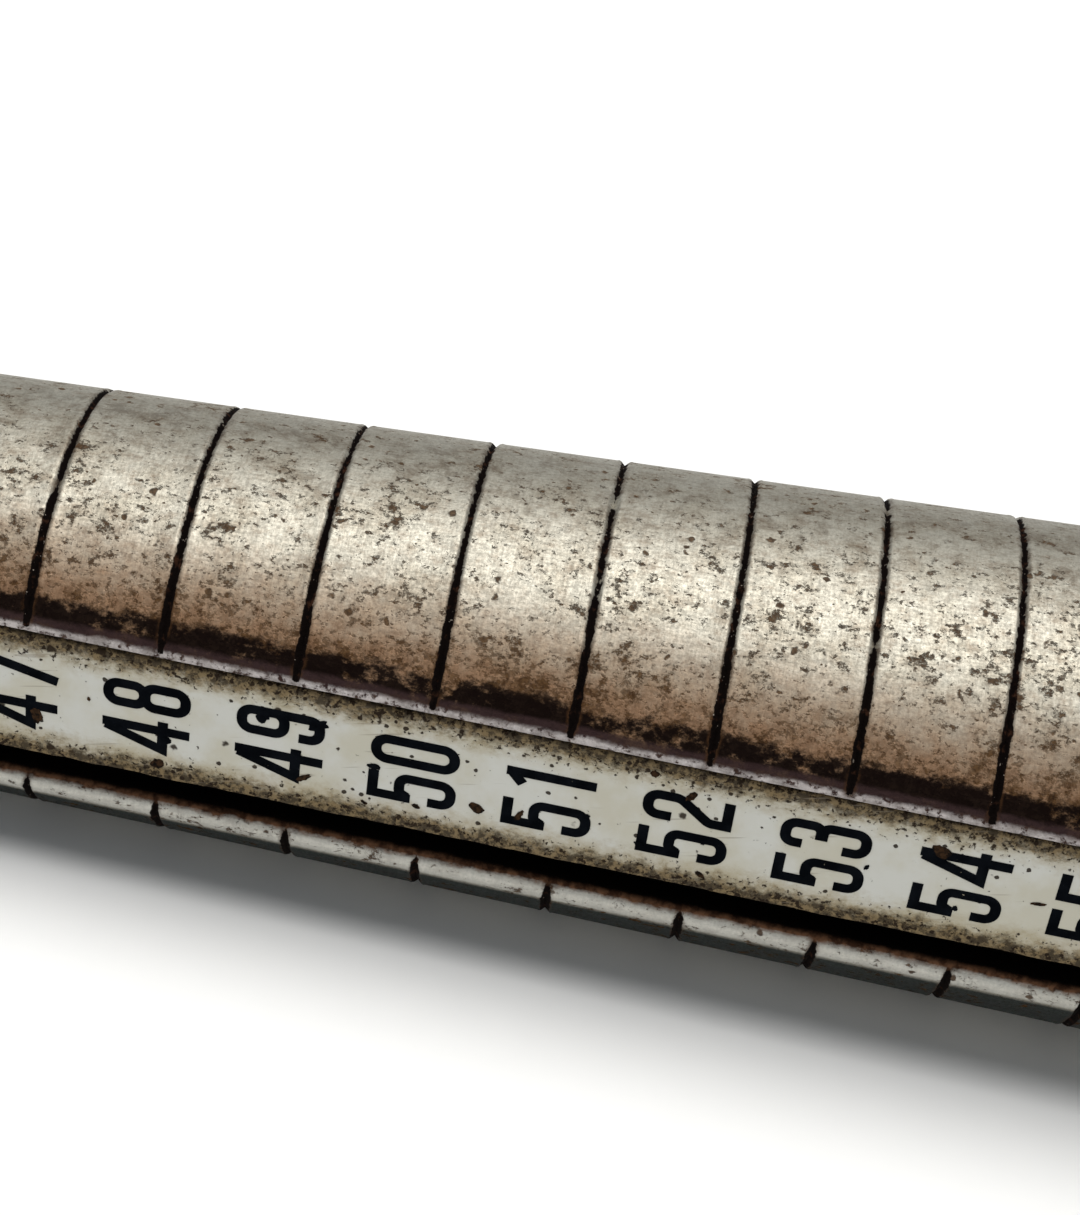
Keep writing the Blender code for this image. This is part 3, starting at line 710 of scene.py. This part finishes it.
def make_body(finish):
    """The stick, with what the aluminium's finish needs to know at each of its points."""
    rings = [body_ring(*place) for place in body_stations()]
    last = np.array([row[0] for row in rings[-1]])
    turns = np.arctan2(last[:, 2], -last[:, 1])
    for x, radius in base_profile():
        places = [(x, -radius * math.cos(turn), radius * math.sin(turn)) for turn in turns]
        rings.append([(place, 0.0, FAR_FROM_LIP, 0.0) for place in places])
    points, faces = skin([[row[0] for row in ring] for ring in rings])
    groove, lip_distance, recess = ([row[column] for ring in rings for row in ring] for column in (1, 2, 3))
    attributes = {
        "groove": (groove, 0.0),
        "lip_distance": (lip_distance, FAR_FROM_LIP),
        "recess": (recess, 0.0),
    }
    body = mesh_object("worn_mandrel", points, faces, finish, attributes, smooth_angle=50)
    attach(body, "root")
    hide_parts("mandrel_body")


def strip_point(x, across, height):
    """A place over the strip's printed face: x along the stick, across towards +Z, height outward."""
    depth = STRIP_DEPTH - height
    out_x, out_y = -math.sin(TAPER_ANGLE), -math.cos(TAPER_ANGLE)
    return (x - depth * out_x, -cone_radius(x) - depth * out_y, STRIP_OFFSET + across)


def make_strip(finish):
    """The strip: a plate with softened, slightly uneven edges and rounded corners."""
    start, end = NOSE_X + STRIP_END_GAP, CHANNEL_END_X - STRIP_END_GAP
    lead = [start + STRIP_CORNER * (1 - math.cos(math.pi / 2 * k / 6)) for k in range(6)]
    tail = [end - STRIP_CORNER * (1 - math.cos(math.pi / 2 * k / 6)) for k in range(6)]
    middle = np.linspace(start + STRIP_CORNER, end - STRIP_CORNER, 360)
    rings, across_values = [], []
    for x in lead + list(middle) + tail[::-1]:
        from_end = min(x - start, end - x, STRIP_CORNER)
        rounding = STRIP_CORNER - math.sqrt(max(STRIP_CORNER**2 - (STRIP_CORNER - from_end) ** 2, 0))
        ring = []
        for across, height in strip_outline():
            side = math.copysign(1, across)
            limit = STRIP_HALF - rounding
            uneven = 0.05 * wave(x, side * 4, 0, 0.9) + 0.03 * wave(x, side * 4, 6, 3.1)
            worn = side * min(abs(across), limit) + side * uneven * (abs(across) / STRIP_HALF) ** 8
            ring.append(strip_point(x, worn, height))
            across_values.append(worn)
        rings.append(ring)
    points, faces = skin(rings)
    attributes = {"across": (across_values, 0.0)}
    strip = mesh_object("enamelled_strip", points, faces, finish, attributes, smooth_angle=60)
    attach(strip, "root")
    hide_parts("scale_strip")


def strip_outline():
    """The strip's cross-section, with its two upper edges rounded."""
    edge = []
    for turn in np.linspace(0, math.pi / 2, 5):
        inward, down = 1 - math.cos(turn), 1 - math.sin(turn)
        edge.append((-STRIP_HALF + STRIP_EDGE_ROUNDING * inward, -STRIP_EDGE_ROUNDING * down))
    side = [(-STRIP_HALF, -STRIP_THICKNESS)] + edge
    face = [(across, 0.0) for across in np.linspace(-STRIP_HALF + 0.4, STRIP_HALF - 0.4, 12)]
    return side + face + [(-across, height) for across, height in reversed(side)]


# Printed numbers ---------------------------------------------------------------------------------

DIGIT_HEIGHT = 3.04
DIGIT_WIDTH = 1.20
FOUR_WIDTH = 1.38
STROKE = 0.36
DIGIT_GAP = 0.33
DIGIT_BEFORE_LINE = 0.43  # the numbers stand this far towards the thin end from their lines
INK_HEIGHT = 0.012
STROKE_LIFT = 0.002  # each stroke of a number lies this much over the one before
SUNK = 0.02  # how far the ink and the blots reach into the strip
BEND = 0.36
NUMBERS_OFFSET = 0.05  # how far the numbers' middle is from the strip's, towards +Z

LEFT, RIGHT = STROKE / 2, DIGIT_WIDTH - STROKE / 2
LOW, HIGH = STROKE / 2, DIGIT_HEIGHT - STROKE / 2
WAIST = 1.62

# Each stroke is a list of (right, up, bend radius) points, and says whether it is a closed loop.
LEFT_TOP, RIGHT_TOP = (LEFT, HIGH, BEND), (RIGHT, HIGH, BEND)
LEFT_FOOT, RIGHT_FOOT = (LEFT, LOW, BEND), (RIGHT, LOW, BEND)
UPPER_LEFT, UPPER_RIGHT = LEFT + 0.03, RIGHT - 0.03  # the 8 is narrower above its waist
ZERO = [(LEFT, LOW, 0.40), (LEFT, HIGH, 0.40), (RIGHT, HIGH, 0.40), (RIGHT, LOW, 0.40)]
TWO = [(LEFT, 2.04, 0), LEFT_TOP, RIGHT_TOP, (RIGHT, 1.82, 0.5)]
TWO += [(LEFT + 0.03, 0.78, 0.4), (LEFT + 0.03, LOW, 0), (DIGIT_WIDTH, LOW, 0)]
THREE_TOP = [(LEFT, 2.27, 0), LEFT_TOP, RIGHT_TOP, (RIGHT, WAIST + 0.08, BEND), (0.46, WAIST + 0.08, 0)]
THREE_FOOT = [(0.46, WAIST + 0.02, 0), (RIGHT, WAIST + 0.02, BEND), RIGHT_FOOT, LEFT_FOOT, (LEFT, 0.92, 0)]
FIVE_TOP = [(DIGIT_WIDTH - 0.06, HIGH, 0), (LEFT, HIGH, 0), (LEFT, 1.54, 0)]
FIVE_FOOT = [(LEFT + 0.06, 1.66, 0), (LEFT + 0.22, 1.95, 0.2), (RIGHT, 1.95, BEND)]
FIVE_FOOT += [RIGHT_FOOT, LEFT_FOOT, (LEFT, 0.94, 0)]
EIGHT_TOP = [(UPPER_LEFT, WAIST, BEND), (UPPER_LEFT, HIGH, BEND)]
EIGHT_TOP += [(UPPER_RIGHT, HIGH, BEND), (UPPER_RIGHT, WAIST, BEND)]
EIGHT_FOOT = [LEFT_FOOT, (LEFT, WAIST - 0.04, BEND), (RIGHT, WAIST - 0.04, BEND), RIGHT_FOOT]
NINE = [
    ([(LEFT, 1.40, BEND), LEFT_TOP, RIGHT_TOP, (RIGHT, 1.40, BEND)], True),
    ([(RIGHT, 2.3, 0), RIGHT_FOOT, LEFT_FOOT, (LEFT, 0.88, 0)], False),
]
SIX = [([(DIGIT_WIDTH - a, DIGIT_HEIGHT - b, bend) for a, b, bend in stroke], loop) for stroke, loop in NINE]
DIGITS = {
    "0": [(ZERO, True)],
    "1": [([(0.76, 0, 0), (0.76, DIGIT_HEIGHT, 0)], False), ([(0.76, 2.88, 0), (0.30, 2.46, 0)], False)],
    "2": [(TWO, False)],
    "3": [(THREE_TOP, False), (THREE_FOOT, False)],
    "4": [
        ([(0.99, 0, 0), (0.99, DIGIT_HEIGHT, 0)], False),
        ([(0.86, 2.94, 0), (0.19, 0.935, 0), (FOUR_WIDTH, 0.935, 0)], False),
    ],
    "5": [(FIVE_TOP, False), (FIVE_FOOT, False)],
    "6": SIX,
    "7": [([(0.0, HIGH, 0), (RIGHT, HIGH, 0), (RIGHT, 2.45, 0.3), (0.48, 0, 0)], False)],
    "8": [(EIGHT_TOP, True), (EIGHT_FOOT, True)],
    "9": NINE,
}


def stroke_path(stroke, closed):
    """Points along the middle of a stroke, with its bends made round."""
    path = []
    count = len(stroke)
    for i, (right, up, bend) in enumerate(stroke):
        corner = np.array((right, up))
        if not closed and i in (0, count - 1):
            path.append(corner)
            continue
        before = np.array(stroke[i - 1][:2])
        after = np.array(stroke[(i + 1) % count][:2])
        path += corner_arc(before, corner, after, bend, steps=7)
    return np.array(path)


def stroke_sides(path, closed):
    """Left and right edge of a stroke of constant width, mitred where it turns."""
    ahead = np.roll(path, -1, axis=0) - path
    behind = path - np.roll(path, 1, axis=0)
    if not closed:
        ahead[-1] = behind[-1]
        behind[0] = ahead[0]
    ahead /= np.linalg.norm(ahead, axis=1)[:, None]
    behind /= np.linalg.norm(behind, axis=1)[:, None]
    normal = np.stack([-(ahead + behind)[:, 1], (ahead + behind)[:, 0]], -1)
    normal /= np.linalg.norm(normal, axis=1)[:, None]
    straight = np.stack([-ahead[:, 1], ahead[:, 0]], -1)
    reach = STROKE / 2 / np.maximum((normal * straight).sum(1), 0.4)
    return path + normal * reach[:, None], path - normal * reach[:, None]


def make_numbers(finish):
    """Every size number, as thin closed ribbons of ink on the strip."""
    points, faces = [], []
    for size in range(FIRST_SIZE, LAST_SIZE + 1):
        digits = str(size)
        widths = [FOUR_WIDTH if digit == "4" else DIGIT_WIDTH for digit in digits]
        start = -(sum(widths) + DIGIT_GAP) / 2
        layer = 0
        for digit, width in zip(digits, widths):
            for stroke, closed in DIGITS[digit]:
                layer += 1
                top = INK_HEIGHT + STROKE_LIFT * layer
                add_stroke(points, faces, stroke, closed, line_x(size), start, top)
            start += width + DIGIT_GAP
    numbers = mesh_object("size_numbers", points, faces, finish)
    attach(numbers, "root")


def add_stroke(points, faces, stroke, closed, at_x, start, top):
    """Add one stroke as a closed solid, with its lower face just under the strip's surface."""
    path = stroke_path(stroke, closed)
    left, right = stroke_sides(path, closed)
    first = len(points)
    for edge_left, edge_right in zip(left, right):
        low_edges = ((edge_right, -SUNK), (edge_left, -SUNK))
        for (a, b), height in ((edge_left, top), (edge_right, top), *low_edges):
            x = at_x - DIGIT_BEFORE_LINE - (b - DIGIT_HEIGHT / 2)
            points.append(strip_point(x, NUMBERS_OFFSET + start + a, height))
    count = len(path)
    for i in range(count if closed else count - 1):
        here, there = first + 4 * i, first + 4 * ((i + 1) % count)
        for side in range(4):
            other = (side + 1) % 4
            faces.append((here + side, there + side, there + other, here + other))
    if not closed:
        last = first + 4 * (count - 1)
        faces.append((first, first + 1, first + 2, first + 3))
        faces.append((last + 3, last + 2, last + 1, last))


# How the blots on the strip are scattered: how many are tried between two lines and with what chance,
# their shortest and longest length, the least width for the length, and how far they lie from the middle.
INK_BLOTS = {
    "seed": 7,
    "each_gap": 2,
    "chance": 0.45,
    "lengths": (0.22, 0.75),
    "slimmest": 0.50,
    "reach": 1.5,
}
GRIME_BLOTS = {
    "seed": 3,
    "each_gap": 3,
    "chance": 0.50,
    "lengths": (0.16, 0.70),
    "slimmest": 0.22,
    "reach": 2.1,
}
BLOT_POINTS = 18
BLOT_HEIGHT = 0.026


def scattered_blots(seed, each_gap, chance, lengths, slimmest, reach):
    """Blots drawn at random between the lines: x, place across the strip, length, width and turn."""
    draw = random.Random(seed)
    blots = []
    for gap in range(each_gap * (LAST_SIZE - FIRST_SIZE)):
        x = FIRST_LINE_X + PITCH * (gap / each_gap + draw.uniform(0, 1 / each_gap))
        across = draw.uniform(-reach, reach)
        length = lengths[0] + (lengths[1] - lengths[0]) * draw.random() ** 1.5
        width = length * draw.uniform(slimmest, 0.85)
        turn = draw.uniform(0, math.pi)
        if draw.random() < chance:
            blots.append((x, across, length, width, turn))
    return blots


def make_blots(name, scatter, finish):
    """Thin irregular drops, standing just proud of the strip."""
    points, faces = [], []
    for x, across, length, width, turn in scattered_blots(**scatter):
        cosine, sine = math.cos(turn), math.sin(turn)
        first = len(points)
        for height in (BLOT_HEIGHT, -SUNK):
            for i in range(BLOT_POINTS):
                angle = 2 * math.pi * i / BLOT_POINTS
                ragged = 1 + 0.45 * wave(math.cos(angle), math.sin(angle), x, 2.1, across)
                a, b = ragged * length / 2 * math.cos(angle), ragged * width / 2 * math.sin(angle)
                place = (x + a * cosine - b * sine, across + a * sine + b * cosine)
                points.append(strip_point(*place, height))
        upper = list(range(first, first + BLOT_POINTS))
        lower = list(range(first + BLOT_POINTS, first + 2 * BLOT_POINTS))
        faces += [tuple(upper), tuple(reversed(lower))]
        for i in range(BLOT_POINTS):
            j = (i + 1) % BLOT_POINTS
            faces.append((upper[i], lower[i], lower[j], upper[j]))
    drops = mesh_object(name, points, faces, finish)
    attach(drops, "root")


# Pins, washer, ferrule and handle ----------------------------------------------------------------


def make_strip_pins(finish):
    """Round-headed pins through the strip, with smooth domes in place of the CAD model's facets."""
    shank, head, head_height = 0.7, 1.2, 0.45
    profile = [(-3.0, 0.0), (-2.6, shank), (0.08, shank), (0.08, 0.95 * head)]
    for t in np.linspace(0, math.pi / 2, 9):
        profile.append((0.15 + head_height * math.sin(t), head * math.cos(t)))
    angles = np.linspace(0, 2 * math.pi, 48, endpoint=False)
    places = (("tip", NOSE_X + STRIP_PIN_FROM_END), ("base", CHANNEL_END_X - STRIP_PIN_FROM_END))
    for end, x in places:
        rings = []
        for height, radius in profile:
            radius = max(radius, AXIS_RADIUS)
            ring = [(x + radius * math.cos(a), radius * math.sin(a)) for a in angles]
            rings.append([strip_point(*place, height) for place in ring])
        points, faces = skin(rings)
        pin = mesh_object(f"domed_strip_pin_{end}", points, faces, finish)
        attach(pin, "root")
        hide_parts(f"strip_pin_{end}")


def node_span(node):
    """Where a turned node starts and ends along X, and its radius."""
    low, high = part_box(node)
    return low.x / MM, high.x / MM, high.z / MM


WASHER_BULGE = 0.45
FERRULE_WALL = 1.0
FERRULE_FRONT_RIM = 0.7  # rounding of each rim
FERRULE_BACK_RIM = 0.6
FERRULE_LINES = (2.2, 3.3)  # from each rim to its two turned lines
FERRULE_LINE_SHAPE = ((-0.25, 0.0), (-0.1, 0.16), (0.1, 0.16), (0.25, 0.0))  # place across and depth
FERRULE_SHEET_EDGE = 12.2  # from the axis to where the rivet's domes start
RIVET_SHANK_RADIUS = 1.5
RIVET_HEAD_RADIUS = 1.95


def make_washer(finish):
    """The leather washer, with an edge that bulges where it is squeezed."""
    start, end, radius = node_span("shoulder_washer")
    middle, half = (start + end) / 2, (end - start) / 2
    profile = [(start, SPIGOT_BORE_RADIUS)]
    for t in np.linspace(-math.pi / 2, math.pi / 2, 13):
        profile.append((middle + half * math.sin(t), radius - WASHER_BULGE * (1 - math.cos(t)) ** 1.5))
    profile.append((end, SPIGOT_BORE_RADIUS))
    washer = turned("squeezed_washer", profile, finish, loop=True)
    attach(washer, "root")
    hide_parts("shoulder_washer")


def make_ferrule(finish):
    """The brass ferrule, with rounded rims and two pairs of turned lines."""
    start, end, radius = node_span("ferrule")
    profile = [(start, SPIGOT_BORE_RADIUS)]
    for t in np.linspace(math.pi / 2, 0, 8):
        inward, down = 1 - math.sin(t), 1 - math.cos(t)
        profile.append((start + FERRULE_FRONT_RIM * inward, radius - FERRULE_FRONT_RIM * down))
    near, far = FERRULE_LINES
    for middle in (start + near, start + far, end - far, end - near):
        profile += [(middle + across, radius - depth) for across, depth in FERRULE_LINE_SHAPE]
    for t in np.linspace(0, math.pi / 2, 7):
        inward, down = 1 - math.sin(t), 1 - math.cos(t)
        profile.append((end - FERRULE_BACK_RIM * inward, radius - FERRULE_BACK_RIM * down))
    inner, floor_x = radius - FERRULE_WALL, start + FERRULE_WALL
    profile += [(end, inner), (floor_x, inner), (floor_x, SPIGOT_BORE_RADIUS)]
    ferrule = turned("turned_ferrule", profile, finish, segments=160, loop=True)
    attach(ferrule, "root")
    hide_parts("ferrule")


def make_ferrule_pin(finish):
    """The rivet across the ferrule, with hammered domes."""
    low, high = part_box("ferrule_pin")
    middle_x, half = (low.x + high.x) / 2 / MM, high.y / MM
    dome_start = FERRULE_SHEET_EDGE - 0.1
    side = [(dome_start - 0.5, RIVET_SHANK_RADIUS), (dome_start, RIVET_SHANK_RADIUS)]
    for t in np.linspace(0, math.pi / 2, 7):
        side.append((dome_start + (half - dome_start) * math.sin(t), RIVET_HEAD_RADIUS * math.cos(t)))
    profile = [(-place, radius) for place, radius in reversed(side)] + side
    angles = np.linspace(0, 2 * math.pi, 48, endpoint=False)
    rings = []
    for place, radius in profile:
        radius = max(radius, AXIS_RADIUS)
        rings.append([(middle_x + radius * math.cos(a), place, radius * math.sin(a)) for a in angles])
    points, faces = skin(rings)
    pin = mesh_object("hammered_ferrule_pin", points, [tuple(reversed(face)) for face in faces], finish)
    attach(pin, "root")
    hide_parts("ferrule_pin")


GRIP_SIDES = 8
GRIP_HALF_WIDTH = 14.0
GRIP_ARRIS = 2.2
GRIP_NECK_RADIUS = 10.9
GRIP_FRONT_RADIUS = 12.0
GRIP_FRONT_GAP = 0.15  # between the ferrule and the wood that meets it
GRIP_FRONT_ROUNDING = 0.35
GRIP_SWELL_LENGTH = 24.0
GRIP_END_LENGTH = 2.5  # over which the end is softened
GRIP_END_TRIM = 1.9
GRIP_END_EASING = 0.001  # how much the flats give way over the end, for each radian of its rounding
GRIP_WEAR = 0.05
GRIP_SEGMENTS = 192
GRIP_COUNTERBORE_RADIUS = 9.3
GRIP_COUNTERBORE_DEPTH = 10.0
GRIP_COUNTERBORE_CHAMFER = 0.4


def octagon_radius(angle, half_width):
    """Distance from the axis to an octagon with rounded corners, with a flat centred on angle 0."""
    step = 2 * math.pi / GRIP_SIDES
    from_corner = angle % step - step / 2
    corner = (half_width - GRIP_ARRIS) / math.cos(step / 2)
    flat = half_width / math.cos(step / 2 - abs(from_corner))
    beyond = GRIP_ARRIS**2 - (corner * math.sin(from_corner)) ** 2
    if beyond <= 0:
        return flat
    arc = corner * math.cos(from_corner) + math.sqrt(beyond)
    on_arc = math.atan2(GRIP_ARRIS * math.sin(step / 2), corner + GRIP_ARRIS * math.cos(step / 2))
    return arc if abs(from_corner) < on_arc else flat


def grip_stations(front, back):
    """(x, radius where it is round, share of the octagon) for each ring of the grip's outside."""
    swell_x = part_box("ferrule")[1].x / MM + GRIP_FRONT_GAP
    edge_x = swell_x + GRIP_FRONT_ROUNDING
    neck, front_radius = GRIP_NECK_RADIUS, GRIP_FRONT_RADIUS
    stations = [(front, neck, 0.0), (swell_x, neck, 0.0)]
    for t in np.linspace(0.4, math.pi / 2, 5):
        x = swell_x + GRIP_FRONT_ROUNDING * (1 - math.cos(t))
        stations.append((x, neck + (front_radius - neck) * math.sin(t), 0.0))
    for share in np.linspace(0, 1, 34)[1:]:
        x = edge_x + (GRIP_SWELL_LENGTH - GRIP_FRONT_ROUNDING) * share
        stations.append((x, front_radius, share * share * (3 - 2 * share)))
    for x in np.linspace(swell_x + GRIP_SWELL_LENGTH, back - GRIP_END_LENGTH, 40)[1:]:
        stations.append((x, front_radius, 1.0))
    for t in np.linspace(0, math.pi / 2, 10)[1:]:
        x = back - GRIP_END_LENGTH * (1 - math.sin(t))
        stations.append((x, front_radius, 1.0 - GRIP_END_EASING * t))
    return stations


def grip_ring(x, round_radius, share, end_x):
    """One cross-section of the grip's outside, worn a little unevenly and trimmed past end_x."""
    into_end = max(0.0, (x - end_x) / GRIP_END_LENGTH)
    trim = GRIP_END_TRIM * (1 - math.sqrt(max(0.0, 1 - into_end**2)))
    ring = []
    for i in range(GRIP_SEGMENTS):
        angle = 2 * math.pi * i / GRIP_SEGMENTS
        radius = round_radius + share * (octagon_radius(angle, GRIP_HALF_WIDTH) - round_radius) - trim
        radius -= GRIP_WEAR * share * (1 + wave(x, 9 * math.cos(angle), 9 * math.sin(angle), 0.09))
        ring.append((x, radius * math.cos(angle), radius * math.sin(angle)))
    return ring


def grip_bores(front, back):
    """(x, radius) of the grip's inside: the counterbore, the rod's bore and the spigot's."""
    floor_x, spigot_x = back - GRIP_COUNTERBORE_DEPTH, SPIGOT_END_X + SPIGOT_END_GAP
    return [
        (back, GRIP_COUNTERBORE_RADIUS + GRIP_COUNTERBORE_CHAMFER),
        (back - GRIP_COUNTERBORE_CHAMFER, GRIP_COUNTERBORE_RADIUS),
        (floor_x, GRIP_COUNTERBORE_RADIUS),
        (floor_x, ROD_BORE_RADIUS),
        (spigot_x, ROD_BORE_RADIUS),
        (spigot_x, SPIGOT_BORE_RADIUS),
        (front, SPIGOT_BORE_RADIUS),
    ]


def make_grip(finish):
    """The octagonal handle, which swells out of its round neck and is softened at its end."""
    front, back = (corner.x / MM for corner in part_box("handle_grip"))
    end_x = back - GRIP_END_LENGTH
    rings = [grip_ring(*place, end_x) for place in grip_stations(front, back)]
    angles = [2 * math.pi * i / GRIP_SEGMENTS for i in range(GRIP_SEGMENTS)]
    for x, radius in grip_bores(front, back):
        rings.append([(x, radius * math.cos(angle), radius * math.sin(angle)) for angle in angles])
    points, faces = skin(rings, loop=True)
    outward = [tuple(reversed(face)) for face in faces]
    grip = mesh_object("carved_grip", points, outward, finish, smooth_angle=40)
    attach(grip, "root")
    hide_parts("handle_grip")


def make_end_plug(finish):
    """The plug in the handle's end, turned with a shallow dish and a raised middle."""
    start, end, radius = node_span("end_plug")
    side = [(start, 0.0), (start, radius), (end - 0.45, radius), (end - 0.13, radius - 0.13)]
    rim = [(end, radius - 0.45), (end, radius - 1.5)]
    dish = [(end - 0.35, radius - 1.9), (end - 0.45, radius - 3.4), (end - 0.35, 2.2), (end - 0.05, 1.8)]
    middle = [(end, 1.2), (end, 0.5), (end - 0.25, 0.0)]
    profile = side + rim + dish + middle
    plug = turned("dished_end_plug", profile, finish)
    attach(plug, "root")
    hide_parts("end_plug")


# Stage -------------------------------------------------------------------------------------------

TAPER_REST = (-138.8, -6.28)  # x and z where the nose touches the floor
GRIP_REST = (81.9, -14.0)  # x and z where the grip does
CAMERA_PLACE = (-84.302, -76.231, 57.639)
CAMERA_TURN = (54.154, -6.636, 8.129)
CAMERA_LENS = 79.365
FLOOR_REACH = 3000
SOFTBOX_PLACE = (-0.05, 0.01, 1.0)  # metres, as the next two are
SOFTBOX_SIZE = 0.85
LIT_PLACE = (-0.08, 0.0, 0.0)
SOFTBOX_ENERGY = 10.6
WORLD_STRENGTH = 0.36


def make_floor():
    """A pale floor that the stick's thin end and its grip both touch."""
    s = Shader("pale_floor")
    speckle = s.noise(s.place(), 0.6, 3.0)
    s.finish(s.mix(speckle, (0.89, 0.89, 0.885), (0.91, 0.91, 0.905)), 0.85)
    s.surface.inputs["Specular IOR Level"].default_value = 0.1
    slope = (GRIP_REST[1] - TAPER_REST[1]) / (GRIP_REST[0] - TAPER_REST[0])
    corners = []
    for x_side, y_side in ((-1, -1), (1, -1), (1, 1), (-1, 1)):
        x, y = x_side * FLOOR_REACH, y_side * FLOOR_REACH
        corners.append((x, y, TAPER_REST[1] + slope * (x - TAPER_REST[0])))
    mesh_object("floor", corners, [(0, 1, 2, 3)], s.material)


def make_softbox():
    """A round area light aimed at the stretch of the stick that the camera sees."""
    light = bpy.data.lights.new("softbox", "AREA")
    light.shape = "DISK"
    light.size = SOFTBOX_SIZE
    light.energy = SOFTBOX_ENERGY
    light.color = (1.0, 0.985, 0.96)
    softbox = bpy.data.objects.new("softbox", light)
    softbox.location = SOFTBOX_PLACE
    direction = Vector(LIT_PLACE) - softbox.location
    softbox.rotation_euler = direction.to_track_quat("-Z", "Y").to_euler()
    bpy.context.scene.collection.objects.link(softbox)


def make_world():
    """Dim grey surroundings."""
    world = bpy.data.worlds.new("studio")
    world.use_nodes = True
    background = world.node_tree.nodes["Background"]
    background.inputs[0].default_value = (0.93, 0.97, 1.0, 1.0)
    background.inputs[1].default_value = WORLD_STRENGTH
    bpy.context.scene.world = world


def make_camera():
    """The camera, close over the middle of the scale."""
    camera = bpy.data.cameras.new("camera")
    camera.lens = CAMERA_LENS
    camera.clip_start = 0.005
    camera.clip_end = 10.0
    holder = bpy.data.objects.new("camera", camera)
    holder.location = [value * MM for value in CAMERA_PLACE]
    holder.rotation_euler = [math.radians(value) for value in CAMERA_TURN]
    bpy.context.scene.collection.objects.link(holder)
    bpy.context.scene.camera = holder


def main():
    aluminium = aluminium_finish()
    steel = metal_finish("dull_steel", (0.50, 0.49, 0.47), (0.20, 0.175, 0.15), 0.38)
    brass = metal_finish("worn_brass", (0.66, 0.47, 0.19), (0.24, 0.145, 0.060), 0.34)
    make_body(aluminium)
    make_strip(enamel_finish())
    ink = ink_finish()
    make_numbers(ink)
    make_blots("ink_blots", INK_BLOTS, ink)
    make_blots("grime_blots", GRIME_BLOTS, grime_finish())
    make_strip_pins(steel)
    make_washer(leather_finish())
    make_ferrule(brass)
    make_ferrule_pin(brass)
    make_grip(hardwood_finish())
    make_end_plug(brass)
    for node in ("tang_rod", "rod_washer", "rod_nut"):
        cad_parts[node].data.materials.clear()
        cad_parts[node].data.materials.append(steel)
    make_floor()
    make_softbox()
    make_world()
    make_camera()
    bpy.context.scene.view_settings.view_transform = "Standard"


main()
